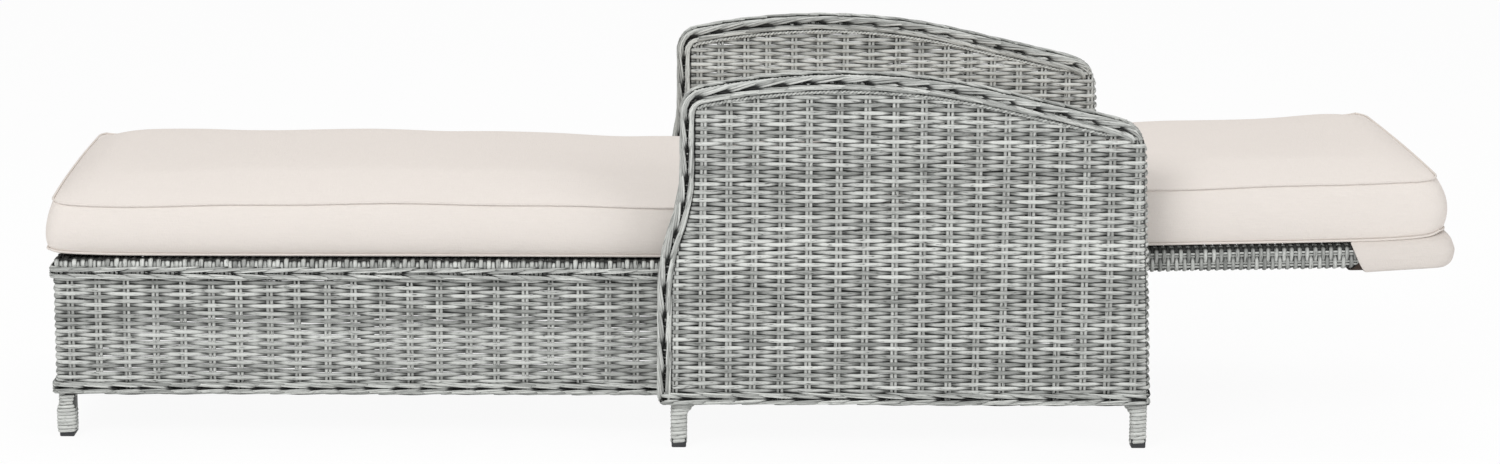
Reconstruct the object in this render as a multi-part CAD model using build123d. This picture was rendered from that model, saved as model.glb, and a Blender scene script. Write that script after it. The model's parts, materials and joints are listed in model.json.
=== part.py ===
from build123d import *
import math
import os

# A woven garden lounger lying flat. X runs from the foot end to the head end, Y across, Z up.
# The origin is on the ground below the middle of the whole piece. The left side is at minus Y.
# All sizes are in millimetres.

# Whole object
overall_length = 2200.0
overall_width = 720.0
arm_height = 585.0
deck_height = 284.0
weave_clearance_below = 69.0

# Fits
seat_gap = 0.3
running_clearance = 0.05
cut_overrun = 5.0

# Woven skins and plaited rims
skin_thickness = 5.0
deck_thickness = 4.0
plait_height = 23.0
base_plait_proud = 4.0
arm_plait_proud = 3.0
deck_edge_radius = 3.0

# Frame tubes
tube = 20.0
tube_wall = 1.5
cross_rail_height = 40.0
back_rail_height = 30.0
drain_hole_radius = 3.0

# Long base, from the foot end to the back of the arms
cushion_overhang = 12.0
arm_rear_setback = 498.0
base_rear_setback = 14.0
skin_behind_arm = 25.0
rear_rail_room = 10.0
rear_cross_rail_room = 2.0
deck_bar_count = 5
post_place_shares = (0.35, 0.71)

# Arms
arm_length = 752.0
arm_thickness = 54.0
arm_gap = 16.0
arm_step_share = 0.0445
arm_step_low_share = 0.419
arm_step_high_share = 0.752
arm_shoulder_share = 0.901
arm_brow_shares = (0.0824, 0.9607)
arm_crest_shares = (0.372, 1.0)
arm_slope_shares = (0.694, 0.954)
arm_rear_shoulder_shares = (0.963, 0.875)
arm_rear_corner_shares = (0.997, 0.82)
arm_rear_foot_share = 1.0185

# Legs and their caps
leg_wrap_thickness = 3.2
leg_cap_height = 14.0
leg_cap_socket = 8.0
foot_leg_inset = 11.0
arm_front_leg_inset = 32.0
arm_rear_leg_inset = 3.0
arm_leg_outer_inset = 9.0
gusset_reach = 16.0

# Bolts between base and arms
bolt_radius = 4.0
bolt_head_radius = 7.0
bolt_head_height = 5.0
bolt_grip_in_arm = 22.0
spacer_radius = 9.0
lower_bolt_place_shares = (0.12, 0.52, 0.92)
upper_bolt_place_shares = (0.12, 0.52)

# Hinges of the back
hinge_setback = 302.0
hinge_rise = 66.0
rest_tilt = 1.2
hinge_pin_radius = 5.0
hinge_pin_head_radius = 8.0
hinge_pin_head_height = 2.7
hinge_nut_height = 4.5
hinge_eye_radius = 13.0
ear_thickness = 4.0
ear_reach = 60.0
washer_thickness = 1.5
hinge_plate_length = 54.0
hinge_flange_thickness = 4.0
screw_radius = 2.5
screw_head_radius = 4.5
screw_head_height = 2.0
screw_length = 10.0
screw_pitch = 22.0

# Back panel, measured from the hinge axis, with the height taken square to the panel
back_side_room = 10.0
back_top = -52.0
back_wrap_thickness = 3.0
back_start = -5.0
back_bar_width = 20.0
back_bar_count = 3
bar_clearance_of_stay = 30.0

# Stay that props the back up, and the notched racks that its foot reaches
stay_pivot_place = 130.0
stay_pivot_depth = -73.0
stay_shaft_radius = 6.0
stay_sleeve_radius = 11.0
stay_sleeve_width = 20.0
stay_tube_radius = 8.0
stay_setback = 25.0
stay_foot_place = 250.0
stay_foot_depth = -77.0
back_travel = 64.0
rack_thickness = 6.0
rack_room = 2.0
rack_tooth_rise = 13.0
rack_height = 25.0
rack_setback = 20.0
rack_toothed_length = 130.0
rack_notch_count = 4
rack_notch_pitch = 26.0
rack_notch_depth = 6.0
rack_notch_mouth = 20.0
rack_notch_root = 12.0
buffer_radius = 9.0

# Cushions
cushion_side_inset = 15.0
cushion_corner_radius = 26.0
cushion_draw_in = 5.0
cushion_side_swell = 2.5
seat_cushion_gap_at_hinge = 6.0
seat_cushion_end_lean = 12.0
seat_low_seam = 9.0
seat_high_seam = 84.0
seat_crown = 31.0
back_cushion_start = 20.0
back_cushion_length = 758.0
back_low_seam = 8.0
back_high_seam_start = 86.0
back_high_seam_end = 99.0
back_crown = 24.0
crown_inset_shares = (0.11, 0.26, 0.5, 0.78)
crown_rise_shares = (0.42, 0.7, 0.92, 1.0)
crown_round_share = 0.12
cushion_foot_inset = 34.0

# Fabric pocket over the head end of the back
pocket_wall = 2.0
pocket_length = 158.0
pocket_front_lean = 20.0

# Places worked out from the sizes above
foot_end = -overall_length / 2
head_end = overall_length / 2
base_foot_face = foot_end + cushion_overhang
base_foot = base_foot_face + skin_thickness
arm_rear = head_end - arm_rear_setback
arm_front = arm_rear - arm_length
arm_foot_rear = arm_front + arm_rear_foot_share * arm_length
base_rear = arm_rear - base_rear_setback
hinge_x = arm_rear - hinge_setback
deck_end = hinge_x - hinge_eye_radius - ear_thickness
rail_top = deck_height - deck_thickness
rail_bottom = weave_clearance_below + skin_thickness
hinge_height = deck_height + hinge_rise
arm_outer_face = overall_width / 2 - arm_plait_proud
arm_inner_face = arm_outer_face - arm_thickness
base_half_width = arm_inner_face - arm_gap
base_inner_half = base_half_width - tube
base_face = base_half_width + skin_thickness
back_half_width = base_half_width - back_side_room
stay_half_width = back_half_width - tube - stay_setback
rack_half_spacing = stay_half_width - rack_setback
cushion_half_width = base_half_width - cushion_side_inset
arm_cavity_inner = arm_inner_face + skin_thickness
arm_cavity_outer = arm_outer_face - skin_thickness
arm_leg_outer = arm_outer_face - arm_leg_outer_inset
skin_end = arm_front + skin_behind_arm
back_bottom = back_top - skin_thickness - back_rail_height - back_wrap_thickness
back_rail_top = back_top - skin_thickness
rear_rail_top = hinge_height + back_bottom - rear_rail_room
rear_cross_rail_top = hinge_height + back_bottom - rear_cross_rail_room
rack_top = hinge_height + stay_foot_depth - stay_tube_radius - rack_room
rack_low_top = rack_top - rack_tooth_rise
rack_bottom = rack_top - rack_height
back_rail_bottom = back_rail_top - back_rail_height
head_roll_radius = (back_top - back_bottom) / 2
head_roll_height = (back_top + back_bottom) / 2
tilt = math.radians(rest_tilt)
pocket_end = (head_end - hinge_x + head_roll_height * math.sin(tilt)) / math.cos(tilt)
head_roll_place = pocket_end - pocket_wall - seat_gap - head_roll_radius
back_reach = head_roll_place + head_roll_radius
top_angle = rest_tilt + back_travel


def box(x_range, y_range, z_range):
    """A block between two values on each axis."""
    size = [high - low for low, high in (x_range, y_range, z_range)]
    middle = [(low + high) / 2 for low, high in (x_range, y_range, z_range)]
    return Pos(*middle) * Box(*size)


def shrunk(low_high):
    """The inside of a tube between its two walls."""
    return (low_high[0] + tube_wall, low_high[1] - tube_wall)


def grown(low_high):
    """A range that runs past both ends, for cuts."""
    return (low_high[0] - cut_overrun, low_high[1] + cut_overrun)


def tube_x(x_range, y_range, z_range):
    """A hollow tube that runs along X."""
    return box(x_range, y_range, z_range) - box(grown(x_range), shrunk(y_range), shrunk(z_range))


def tube_y(x_range, y_range, z_range):
    """A hollow tube that runs along Y."""
    return box(x_range, y_range, z_range) - box(shrunk(x_range), grown(y_range), shrunk(z_range))


def tube_z(x_range, y_range, z_range):
    """A hollow tube that stands up."""
    return box(x_range, y_range, z_range) - box(shrunk(x_range), shrunk(y_range), grown(z_range))


def around(middle, width):
    """The range of a given width about a middle value."""
    return (middle - width / 2, middle + width / 2)


def rod_y(x, z, y_range, radius):
    """A round bar along Y."""
    low, high = y_range
    bar = Cylinder(radius, high - low)
    return Pos(x, (low + high) / 2, z) * Rot(90, 0, 0) * bar


def rod_z(x, y, z_range, radius):
    """A round bar that stands up."""
    low, high = z_range
    return Pos(x, y, (low + high) / 2) * Cylinder(radius, high - low)


def plate_y(outline, y_range):
    """An outline in X and Z given a thickness along Y."""
    low, high = y_range
    return extrude(Plane.XZ.offset(-low) * outline, amount=high - low, dir=(0, 1, 0))


def left(shape):
    """The left hand copy of a right hand piece."""
    return mirror(shape, about=Plane.XZ)


def group(*shapes):
    """Separate solids of one node."""
    solids = []
    for shape in shapes:
        solids.extend(shape.solids())
    return Compound(children=solids)


def pair(shape):
    """A right hand piece and its left hand copy in one node."""
    return group(shape, left(shape))


def tilted(shape):
    """A piece drawn about the hinge axis, put in its place on the resting back."""
    return Pos(hinge_x, 0, hinge_height) * Rot(0, -rest_tilt, 0) * shape


# Long base frame

side_range = (base_inner_half, base_half_width)
inner_range = (-base_inner_half, base_inner_half)
top_range = (rail_top - tube, rail_top)
bottom_range = (rail_bottom, rail_bottom + tube)
foot_range = (base_foot, base_foot + tube)
hinge_rail_range = (deck_end - tube, deck_end)
rear_range = (base_rear - tube, base_rear)
bolt_places_low = [arm_front + share * arm_length for share in lower_bolt_place_shares]
bolt_places_high = [arm_front + share * arm_length for share in upper_bolt_place_shares]
low_bolt_height = rail_bottom + tube / 2
high_bolt_height = rail_top - tube / 2


def bolt_holes(places, height):
    """Clearance holes for a row of bolts, through everything between base and arm."""
    reach = (base_inner_half - cut_overrun, arm_inner_face + bolt_grip_in_arm + cut_overrun)
    return [rod_y(place, height, reach, bolt_radius + running_clearance) for place in places]


def base_bottom_rail():
    return tube_x((base_foot, base_rear), side_range, bottom_range) - bolt_holes(bolt_places_low, low_bolt_height)


def base_top_rail():
    return tube_x((base_foot, deck_end), side_range, top_range) - bolt_holes(bolt_places_high, high_bolt_height)


def base_rear_side_rail():
    return tube_x((deck_end, base_rear - tube), side_range, (rear_rail_top - tube, rear_rail_top))


def foot_cross_rails():
    return group(tube_y(foot_range, inner_range, top_range), tube_y(foot_range, inner_range, bottom_range))


def hinge_cross_rail():
    return tube_y(hinge_rail_range, inner_range, (rail_top - cross_rail_height, rail_top))


def rear_cross_rails():
    full_width = (-base_half_width, base_half_width)
    upper = tube_y(rear_range, full_width, (rear_cross_rail_top - cross_rail_height, rear_cross_rail_top))
    return group(upper, tube_y(rear_range, inner_range, bottom_range))


def base_posts():
    """Upright tubes between the bottom and top rails, lower behind the hinge."""
    front_length = deck_end - base_foot
    places = [base_foot + tube / 2]
    places += [base_foot + share * front_length for share in post_place_shares]
    places.append(deck_end - tube / 2)
    tall = (rail_bottom + tube, rail_top - tube)
    short = (rail_bottom + tube, rear_cross_rail_top - cross_rail_height)
    posts = [tube_z(around(place, tube), side_range, tall) for place in places]
    posts.append(tube_z(rear_range, side_range, short))
    return group(*[pair(post) for post in posts])


def deck_bars():
    """Cross tubes that carry the woven deck, evenly spaced between the end rails."""
    span = deck_end - base_foot - tube
    bars = []
    for index in range(deck_bar_count):
        place = base_foot + tube / 2 + span * (index + 1) / (deck_bar_count + 1)
        bars.append(tube_y(around(place, tube), inner_range, top_range))
    return group(*bars)


# Woven skins of the base

def seat_deck():
    deck = box((base_foot_face, deck_end), (-base_face, base_face), (rail_top, deck_height))
    return fillet(deck.edges().filter_by(Axis.X).group_by(Axis.Z)[-1], deck_edge_radius)


def base_side_skin():
    return box((base_foot, skin_end), (base_half_width, base_face), (weave_clearance_below, rail_top))


def base_foot_skin():
    return box((base_foot_face, base_foot), (-base_face, base_face), (weave_clearance_below, rail_top))


def base_rear_skin():
    height = (weave_clearance_below, rear_cross_rail_top)
    return box((base_rear, base_rear + skin_thickness), (-base_face, base_face), height)


def plait_set(z_range, with_rear):
    """Plaited rim along both sides and the foot end, and along the rear when asked for."""
    proud = (base_face, base_face + base_plait_proud)
    side = box((base_foot_face, skin_end), proud, z_range)
    across = (-proud[1], proud[1])
    foot = box((base_foot_face - base_plait_proud, base_foot_face), across, z_range)
    pieces = [side, left(side), foot]
    if with_rear:
        rear_face = base_rear + skin_thickness
        pieces.append(box((rear_face, rear_face + base_plait_proud), (-base_face, base_face), z_range))
    return group(*pieces)


def base_top_plait():
    top = rail_top - deck_edge_radius * 2
    return plait_set((top - plait_height, top), False)


def base_bottom_plait():
    return plait_set((weave_clearance_below, weave_clearance_below + plait_height), True)


# Arms

def arm_point(shares):
    """A point of the arm's outline from its shares of the arm's length and height."""
    return (arm_front + shares[0] * arm_length, shares[1] * arm_height)


def arm_outline():
    """The arm seen from the side: stepped front edge, long crown, sloping rear."""
    low_front = (arm_front, weave_clearance_below)
    step_low = (arm_front, arm_step_low_share * arm_height)
    step_high = arm_point((arm_step_share, arm_step_high_share))
    step_middle = ((step_low[0] + step_high[0]) / 2, (step_low[1] + step_high[1]) / 2)
    shoulder = arm_point((arm_step_share, arm_shoulder_share))
    brow = arm_point(arm_brow_shares)
    crest = arm_point(arm_crest_shares)
    slope = arm_point(arm_slope_shares)
    rear_shoulder = arm_point(arm_rear_shoulder_shares)
    rear_corner = arm_point(arm_rear_corner_shares)
    rear_foot = (arm_foot_rear, weave_clearance_below)
    up = (0, 1)
    front = Line(low_front, step_low)
    lower_bend = TangentArc(step_low, step_middle, tangent=up)
    upper_bend = TangentArc(step_middle, step_high, tangent=lower_bend % 1)
    upright = Line(step_high, shoulder)
    front_corner = TangentArc(shoulder, brow, tangent=up)
    crown = ThreePointArc(brow, crest, slope)
    fall = Line(slope, rear_shoulder)
    rear_bend = TangentArc(rear_shoulder, rear_corner, tangent=fall % 1)
    rear = Line(rear_corner, rear_foot)
    under = Line(rear_foot, low_front)
    return make_face([front, lower_bend, upper_bend, upright, front_corner, crown, fall, rear_bend, rear, under])


def inset(outline, amount):
    """The outline drawn in by an amount all round."""
    return offset(outline, amount=-amount)


def below_skin(height):
    """A flat area that opens an outline downwards, from under the arm up to a height."""
    x_range = (arm_front + skin_thickness, arm_foot_rear - skin_thickness)
    z_range = (weave_clearance_below - cut_overrun, height)
    wide, tall = (x_range[1] - x_range[0], z_range[1] - z_range[0])
    return Pos(sum(x_range) / 2, sum(z_range) / 2) * Rectangle(wide, tall)


def arm_shell():
    """Woven sleeve of the arm, hollow and open underneath, with holes for the bolts."""
    outline = arm_outline()
    cavity = inset(outline, skin_thickness) + below_skin(rail_bottom + skin_thickness)
    shell = plate_y(outline, (arm_inner_face, arm_outer_face))
    shell -= plate_y(cavity, (arm_cavity_inner, arm_cavity_outer))
    shell -= bolt_holes(bolt_places_low, low_bolt_height)
    return shell - bolt_holes(bolt_places_high, high_bolt_height)


def arm_frame():
    """Welded tube loop inside the arm, with a rail level with the seat deck."""
    face = (arm_cavity_inner + seat_gap, arm_cavity_outer - seat_gap)
    outer = inset(arm_outline(), skin_thickness + seat_gap)
    middle = inset(outer, tube)
    mid_rail = box((arm_front + tube, arm_rear - tube), face, top_range)
    loop = plate_y(outer, face) - plate_y(middle, grown(face))
    void = inset(outer, tube_wall) - inset(outer, tube - tube_wall)
    mid_void = box((arm_front + tube, arm_rear - tube), shrunk(face), shrunk(top_range))
    middle_area = plate_y(inset(outer, tube / 2), face)
    frame = loop + (mid_rail & middle_area)
    frame -= plate_y(void, shrunk(face))
    frame -= mid_void & middle_area
    drain = rod_z(hinge_x, sum(face) / 2, (0, rail_bottom + tube / 2), drain_hole_radius)
    frame -= drain
    frame -= bolt_holes(bolt_places_low, low_bolt_height)
    return frame - bolt_holes(bolt_places_high, high_bolt_height)


def arm_plait(face_range):
    """Plaited rim on one face of the arm, left out along the rear edge."""
    outline = arm_outline()
    ring = outline - inset(outline, plait_height)
    tall = arm_height - weave_clearance_below - plait_height * 2
    rear_middle = weave_clearance_below + plait_height + tall * arm_step_low_share
    rear_cut = Pos(arm_rear, rear_middle) * Rectangle(plait_height * 2, tall * arm_step_high_share)
    return plate_y(ring - rear_cut, face_range)


def arm_plaits():
    """Rims on the outer and inner faces, the inner one with room for the spacers."""
    outer = arm_plait((arm_outer_face, arm_outer_face + arm_plait_proud))
    inner_range = (arm_inner_face - arm_plait_proud, arm_inner_face)
    inner = arm_plait(inner_range)
    for place in bolt_places_low:
        inner -= rod_y(place, low_bolt_height, grown(inner_range), spacer_radius + seat_gap)
    return group(outer, inner)


# Legs

arm_leg_range = (arm_leg_outer - tube, arm_leg_outer)
foot_leg_x = base_foot_face + foot_leg_inset + tube / 2 - leg_wrap_thickness
front_leg_x = arm_front + arm_front_leg_inset
rear_leg_x = arm_rear - arm_rear_leg_inset
arm_frame_bottom = weave_clearance_below + skin_thickness + seat_gap


def leg_tube(x, y_range, top):
    return tube_z(around(x, tube), y_range, (leg_cap_height - leg_cap_socket, top))


def leg_wrap(x, y_range, inward):
    """Woven sleeve of a leg with a small gusset under the rim, on the side given by inward."""
    z_range = (leg_cap_height, weave_clearance_below)
    wrap_x = around(x, tube + leg_wrap_thickness * 2)
    wrap_y = around(sum(y_range) / 2, tube + leg_wrap_thickness * 2)
    edge = x + inward * (tube / 2 + leg_wrap_thickness)
    corners = [(edge, z_range[1]), (edge + inward * gusset_reach, z_range[1]), (edge, z_range[1] - gusset_reach)]
    sleeve = box(wrap_x, wrap_y, z_range) + plate_y(Polygon(*corners, align=None), wrap_y)
    room = tube + seat_gap * 2
    return sleeve - box(around(x, room), around(sum(y_range) / 2, room), grown(z_range))


def leg_cap(x, y_range):
    """Plastic foot with a socket that takes the tube's end."""
    wide = tube + leg_wrap_thickness * 2
    middle = sum(y_range) / 2
    cap = box(around(x, wide), around(middle, wide), (0, leg_cap_height))
    room = tube + seat_gap * 2
    socket = (leg_cap_height - leg_cap_socket, leg_cap_height + cut_overrun)
    return cap - box(around(x, room), around(middle, room), socket)


def leg_caps():
    foot = leg_cap(foot_leg_x, side_range)
    front = leg_cap(front_leg_x, arm_leg_range)
    rear = leg_cap(rear_leg_x, arm_leg_range)
    return group(pair(foot), pair(front), pair(rear))


# Bolts between base and arms

def arm_bolts():
    """Bolts from inside the base rails into the arm frames."""
    bolts = []
    for places, height in ((bolt_places_low, low_bolt_height), (bolt_places_high, high_bolt_height)):
        for place in places:
            head = rod_y(place, height, (base_inner_half - bolt_head_height, base_inner_half), bolt_head_radius)
            shank = rod_y(place, height, (base_inner_half, arm_inner_face + bolt_grip_in_arm), bolt_radius)
            bolts.append(pair(head + shank))
    return group(*bolts)


def arm_spacers():
    """Sleeves that fill the gap between the base rails and the arms."""
    spacers = []
    for places, height in ((bolt_places_low, low_bolt_height), (bolt_places_high, high_bolt_height)):
        for place in places:
            ring = rod_y(place, height, (base_half_width, arm_inner_face), spacer_radius)
            hole = rod_y(place, height, grown((base_half_width, arm_inner_face)), bolt_radius + running_clearance)
            spacers.append(pair(ring - hole))
    return group(*spacers)


# Hinges

ear_range = (back_half_width, back_half_width + ear_thickness)
plate_start = ear_range[1] + washer_thickness
plate_range = (plate_start, plate_start + ear_thickness)
plate_places = (hinge_x - hinge_eye_radius, hinge_x - hinge_eye_radius + hinge_plate_length)
screw_places = [sum(plate_places) / 2 + side * screw_pitch / 2 for side in (-1, 1)]
flange_middle = (base_inner_half + plate_start) / 2


def eye_plate(x, z, foot_corners, y_range):
    """A plate with a round eye and a foot, bored for the hinge pin."""
    web = Polygon(*foot_corners, align=None) + Pos(x, z) * Circle(hinge_eye_radius)
    plate = plate_y(web, y_range)
    return plate - rod_y(x, z, grown(y_range), hinge_pin_radius + running_clearance)


def hinge_plate():
    """Fixed half of a hinge: an upright plate with a flange on the rear side rail."""
    low, high = plate_places
    corners = [(low, rear_rail_top), (high, rear_rail_top), (hinge_x + hinge_eye_radius, hinge_height),
               (hinge_x - hinge_eye_radius, hinge_height)]
    plate = eye_plate(hinge_x, hinge_height, corners, plate_range)
    flange_z = (rear_rail_top, rear_rail_top + hinge_flange_thickness)
    flange = box(plate_places, (base_inner_half, plate_range[0]), flange_z)
    for place in screw_places:
        flange -= rod_z(place, flange_middle, grown(flange_z), screw_radius + running_clearance)
    return plate + flange


def hinge_ear():
    """Moving half of a hinge, on the outer side of the back's side rail."""
    corners = [(-hinge_eye_radius, 0), (-hinge_eye_radius, back_rail_top), (back_start, back_rail_bottom),
               (ear_reach, back_rail_bottom), (ear_reach, back_rail_top), (hinge_eye_radius, 0)]
    return eye_plate(0, 0, corners, ear_range)


def hinge_pin():
    """Pin through ear, washer and plate, with a flat head inside and a nut outside."""
    head = (back_half_width - seat_gap - hinge_pin_head_height, back_half_width - seat_gap)
    nut = (plate_range[1] + seat_gap, plate_range[1] + seat_gap + hinge_nut_height)
    pin = rod_y(hinge_x, hinge_height, (head[0], nut[1]), hinge_pin_radius)
    pin += rod_y(hinge_x, hinge_height, head, hinge_pin_head_radius)
    return pin + rod_y(hinge_x, hinge_height, nut, hinge_pin_head_radius)


def hinge_washer():
    faces = (ear_range[1] + running_clearance, plate_range[0] - running_clearance)
    ring = rod_y(hinge_x, hinge_height, faces, hinge_pin_head_radius)
    return ring - rod_y(hinge_x, hinge_height, grown(faces), hinge_pin_radius + running_clearance)


def rail_screw_holes():
    """Holes in the rear side rail for the screws of the hinge plate."""
    reach = (rear_rail_top - screw_length - cut_overrun, rear_rail_top + cut_overrun)
    return [rod_z(place, flange_middle, reach, screw_radius + running_clearance) for place in screw_places]


def hinge_screws():
    """Screws that hold the hinge plates on the rear side rails."""
    screws = []
    top = rear_rail_top + hinge_flange_thickness
    for place in screw_places:
        shank = rod_z(place, flange_middle, (rear_rail_top - screw_length, top), screw_radius)
        head = rod_z(place, flange_middle, (top, top + screw_head_height), screw_head_radius)
        screws.append(pair(shank + head))
    return group(*screws)


# Back panel, drawn about the hinge axis

back_side_range = (back_half_width - tube, back_half_width)
back_inner_range = (tube - back_half_width, back_half_width - tube)
back_rail_range = (back_rail_bottom, back_rail_top)
back_wrap_half = back_half_width + back_wrap_thickness


def back_side_rail():
    rail = tube_x((back_start, head_roll_place), back_side_range, back_rail_range)
    shaft = rod_y(stay_pivot_place, stay_pivot_depth, (0, back_half_width - tube_wall), stay_shaft_radius)
    return tilted(rail - shaft)


def back_bars():
    """Cross tubes of the back: one at the hinge, and the rest clear of the folded stay."""
    first = stay_foot_at_rest + stay_tube_radius + bar_clearance_of_stay
    last = head_roll_place - back_bar_width
    places = [back_start]
    places += [first + (last - first) * index / (back_bar_count - 1) for index in range(back_bar_count)]
    bars = [tube_y((place, place + back_bar_width), back_inner_range, back_rail_range) for place in places]
    return group(*[tilted(bar) for bar in bars])


def back_deck():
    """Woven deck of the back, recessed at its lower corners for the hinge ears."""
    z_range = (back_rail_top, back_top)
    deck = box((back_start, head_roll_place), (-back_wrap_half, back_wrap_half), z_range)
    deck = fillet(deck.edges().filter_by(Axis.X).group_by(Axis.Z)[-1], deck_edge_radius)
    ear_room = (back_start - cut_overrun, ear_reach + seat_gap)
    recess = box(ear_room, (back_half_width, back_wrap_half + cut_overrun), grown(z_range))
    return tilted(deck - recess - left(recess))


def back_edge_wrap():
    """Wound strands over the outer side and the underside of a side rail."""
    x_range = (ear_reach + ear_thickness, head_roll_place)
    wrap = box(x_range, (back_half_width - tube, back_wrap_half), (back_bottom, back_rail_top))
    room = (back_half_width - tube - cut_overrun, back_half_width)
    return tilted(wrap - box(grown(x_range), room, (back_rail_bottom, back_rail_top + cut_overrun)))


def head_roll():
    """Rounded end of the back, as thick as the panel."""
    half = (-back_wrap_half, back_wrap_half)
    roll = rod_y(head_roll_place, head_roll_height, half, head_roll_radius)
    cut = (head_roll_place - head_roll_radius - cut_overrun, head_roll_place)
    core = box(cut, grown(half), (back_bottom - cut_overrun, back_top + cut_overrun))
    return tilted(roll - core)


# Stay

stay_pivot = (stay_pivot_place, stay_pivot_depth)
turn = math.radians(top_angle)
raised_pivot_x = stay_pivot_place * math.cos(turn) - stay_pivot_depth * math.sin(turn)
raised_pivot_z = stay_pivot_place * math.sin(turn) + stay_pivot_depth * math.cos(turn)
stay_length = math.hypot(stay_foot_place - raised_pivot_x, stay_foot_depth - raised_pivot_z)
stay_foot_at_rest = stay_pivot_place + stay_length


def stay_shaft():
    """Fixed shaft across the back, on which the stay turns."""
    half = back_half_width - tube_wall
    return tilted(rod_y(stay_pivot_place, stay_pivot_depth, (-half, half), stay_shaft_radius))


def stay_leg():
    """One leg of the stay, with the sleeve that turns on the shaft."""
    sleeve = rod_y(stay_pivot_place, stay_pivot_depth, around(stay_half_width, stay_sleeve_width), stay_sleeve_radius)
    run = (stay_pivot_place, stay_foot_at_rest)
    leg = Pos(sum(run) / 2, stay_half_width, stay_pivot_depth) * Rot(0, 90, 0) * Cylinder(stay_tube_radius, run[1] - run[0])
    end = Pos(stay_foot_at_rest, stay_half_width, stay_pivot_depth) * Sphere(stay_tube_radius)
    bore_range = grown(around(stay_half_width, stay_sleeve_width))
    bore = rod_y(stay_pivot_place, stay_pivot_depth, bore_range, stay_shaft_radius + running_clearance)
    return tilted(sleeve + leg + end - bore)


def stay_foot_bar():
    """Round bar between the legs that drops into the racks."""
    half = stay_half_width - stay_tube_radius
    return tilted(rod_y(stay_foot_at_rest, stay_pivot_depth, (-half, half), stay_tube_radius))


def rack():
    """Flat bar between the hinge rail and the rear rail, notched along its top at the rear."""
    rear = base_rear - tube
    step = rear - rack_toothed_length
    bar = box((deck_end, step), around(rack_half_spacing, rack_thickness), (rack_bottom, rack_low_top))
    bar += box((step, rear), around(rack_half_spacing, rack_thickness), (rack_bottom, rack_top))
    for index in range(rack_notch_count):
        x = hinge_x + stay_foot_place - index * rack_notch_pitch
        mouth, root = rack_notch_mouth / 2, rack_notch_root / 2
        floor = rack_top - rack_notch_depth
        over = rack_top + cut_overrun
        corners = [(x - mouth, over), (x - mouth, rack_top), (x - root, floor), (x + root, floor),
                   (x + mouth, rack_top), (x + mouth, over)]
        bar -= plate_y(Polygon(*corners, align=None), grown(around(rack_half_spacing, rack_thickness)))
    return bar


def rest_buffer():
    """Rubber pad on the rear rail that the lowered back lies on."""
    place = base_rear - tube / 2
    along = place - buffer_radius - hinge_x
    under_back = hinge_height + along * math.tan(tilt) + back_bottom / math.cos(tilt)
    z_range = (rear_cross_rail_top, under_back - seat_gap)
    return rod_z(place, base_inner_half, z_range, buffer_radius)


# Cushions

def outline_face(x_range, half_width, corner):
    """One level outline as a flat face at height zero."""
    low, high = x_range
    nook = corner * (1 - math.sqrt(1 / 2))
    dip = cushion_draw_in
    middle = (low + high) / 2
    wide, deep = half_width - corner, half_width - nook
    edges = [
        ThreePointArc((low + corner, -half_width), (middle, dip - half_width), (high - corner, -half_width)),
        ThreePointArc((high - corner, -half_width), (high - nook, -deep), (high, -wide)),
        ThreePointArc((high, -wide), (high - dip, 0), (high, wide)),
        ThreePointArc((high, wide), (high - nook, deep), (high - corner, half_width)),
        ThreePointArc((high - corner, half_width), (middle, half_width - dip), (low + corner, half_width)),
        ThreePointArc((low + corner, half_width), (low + nook, deep), (low, wide)),
        ThreePointArc((low, wide), (low + dip, 0), (low, -wide)),
        ThreePointArc((low, -wide), (low + nook, -deep), (low + corner, -half_width)),
    ]
    return make_face(edges)


def level(x_range, draw, height, slope):
    """An outline drawn in by a distance, at a height, on a plane that climbs along X."""
    x_low, x_high = x_range[0] + draw, x_range[1] - draw
    half = cushion_half_width - draw
    corner = cushion_corner_radius + draw * crown_round_share
    place = Plane(origin=(x_range[0], 0, height), x_dir=(1, 0, slope), z_dir=(-slope, 0, 1))
    return place * outline_face((x_low - x_range[0], x_high - x_range[0]), half, corner)


def cushion(low_x, high_x, base_height, low_seam, high_seam, slope, crown):
    """Box cushion: rests flat, swells a little at the sides and has a crowned top."""
    foot = level(low_x, cushion_foot_inset, base_height, 0)
    low = level(low_x, 0, base_height + low_seam, 0)
    belly = level(high_x, -cushion_side_swell, base_height + (low_seam + high_seam) / 2, slope / 2)
    high = level(high_x, 0, base_height + high_seam, slope)
    under = loft([foot, low], ruled=True)
    side = loft([low, belly, high])
    tops = [high]
    for inset_share, rise_share in zip(crown_inset_shares, crown_rise_shares):
        draw = cushion_half_width * inset_share
        tops.append(level(high_x, draw, base_height + high_seam + crown * rise_share + draw * slope, slope))
    return under + side + loft(tops)


def seat_cushion():
    """Long cushion over seat and foot end, whose foot end leans out at the bottom."""
    end = hinge_x - seat_cushion_gap_at_hinge - cushion_side_swell
    low_x = (foot_end, end)
    high_x = (foot_end + seat_cushion_end_lean, end)
    return cushion(low_x, high_x, deck_height + seat_gap, seat_low_seam, seat_high_seam, 0, seat_crown)


def back_cushion():
    """Cushion of the back, thicker towards the head."""
    x_range = (back_cushion_start, back_cushion_start + back_cushion_length)
    slope = (back_high_seam_end - back_high_seam_start) / back_cushion_length
    base = back_top + seat_gap + pocket_wall + seat_gap
    return tilted(cushion(x_range, x_range, base, back_low_seam, back_high_seam_start, slope, back_crown))


def pocket_profile(extra):
    """Side view of the pocket, grown outwards by an amount."""
    top = back_top + seat_gap + extra
    bottom = back_bottom - seat_gap - extra
    end = head_roll_place
    nose = (end + head_roll_radius + seat_gap + extra, head_roll_height)
    front_top = back_reach - pocket_length
    front_bottom = front_top + pocket_front_lean
    return make_face([
        Line((front_bottom, bottom), (end, bottom)),
        ThreePointArc((end, bottom), nose, (end, top)),
        Line((end, top), (front_top, top)),
        Line((front_top, top), (front_bottom, bottom)),
    ])


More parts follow.
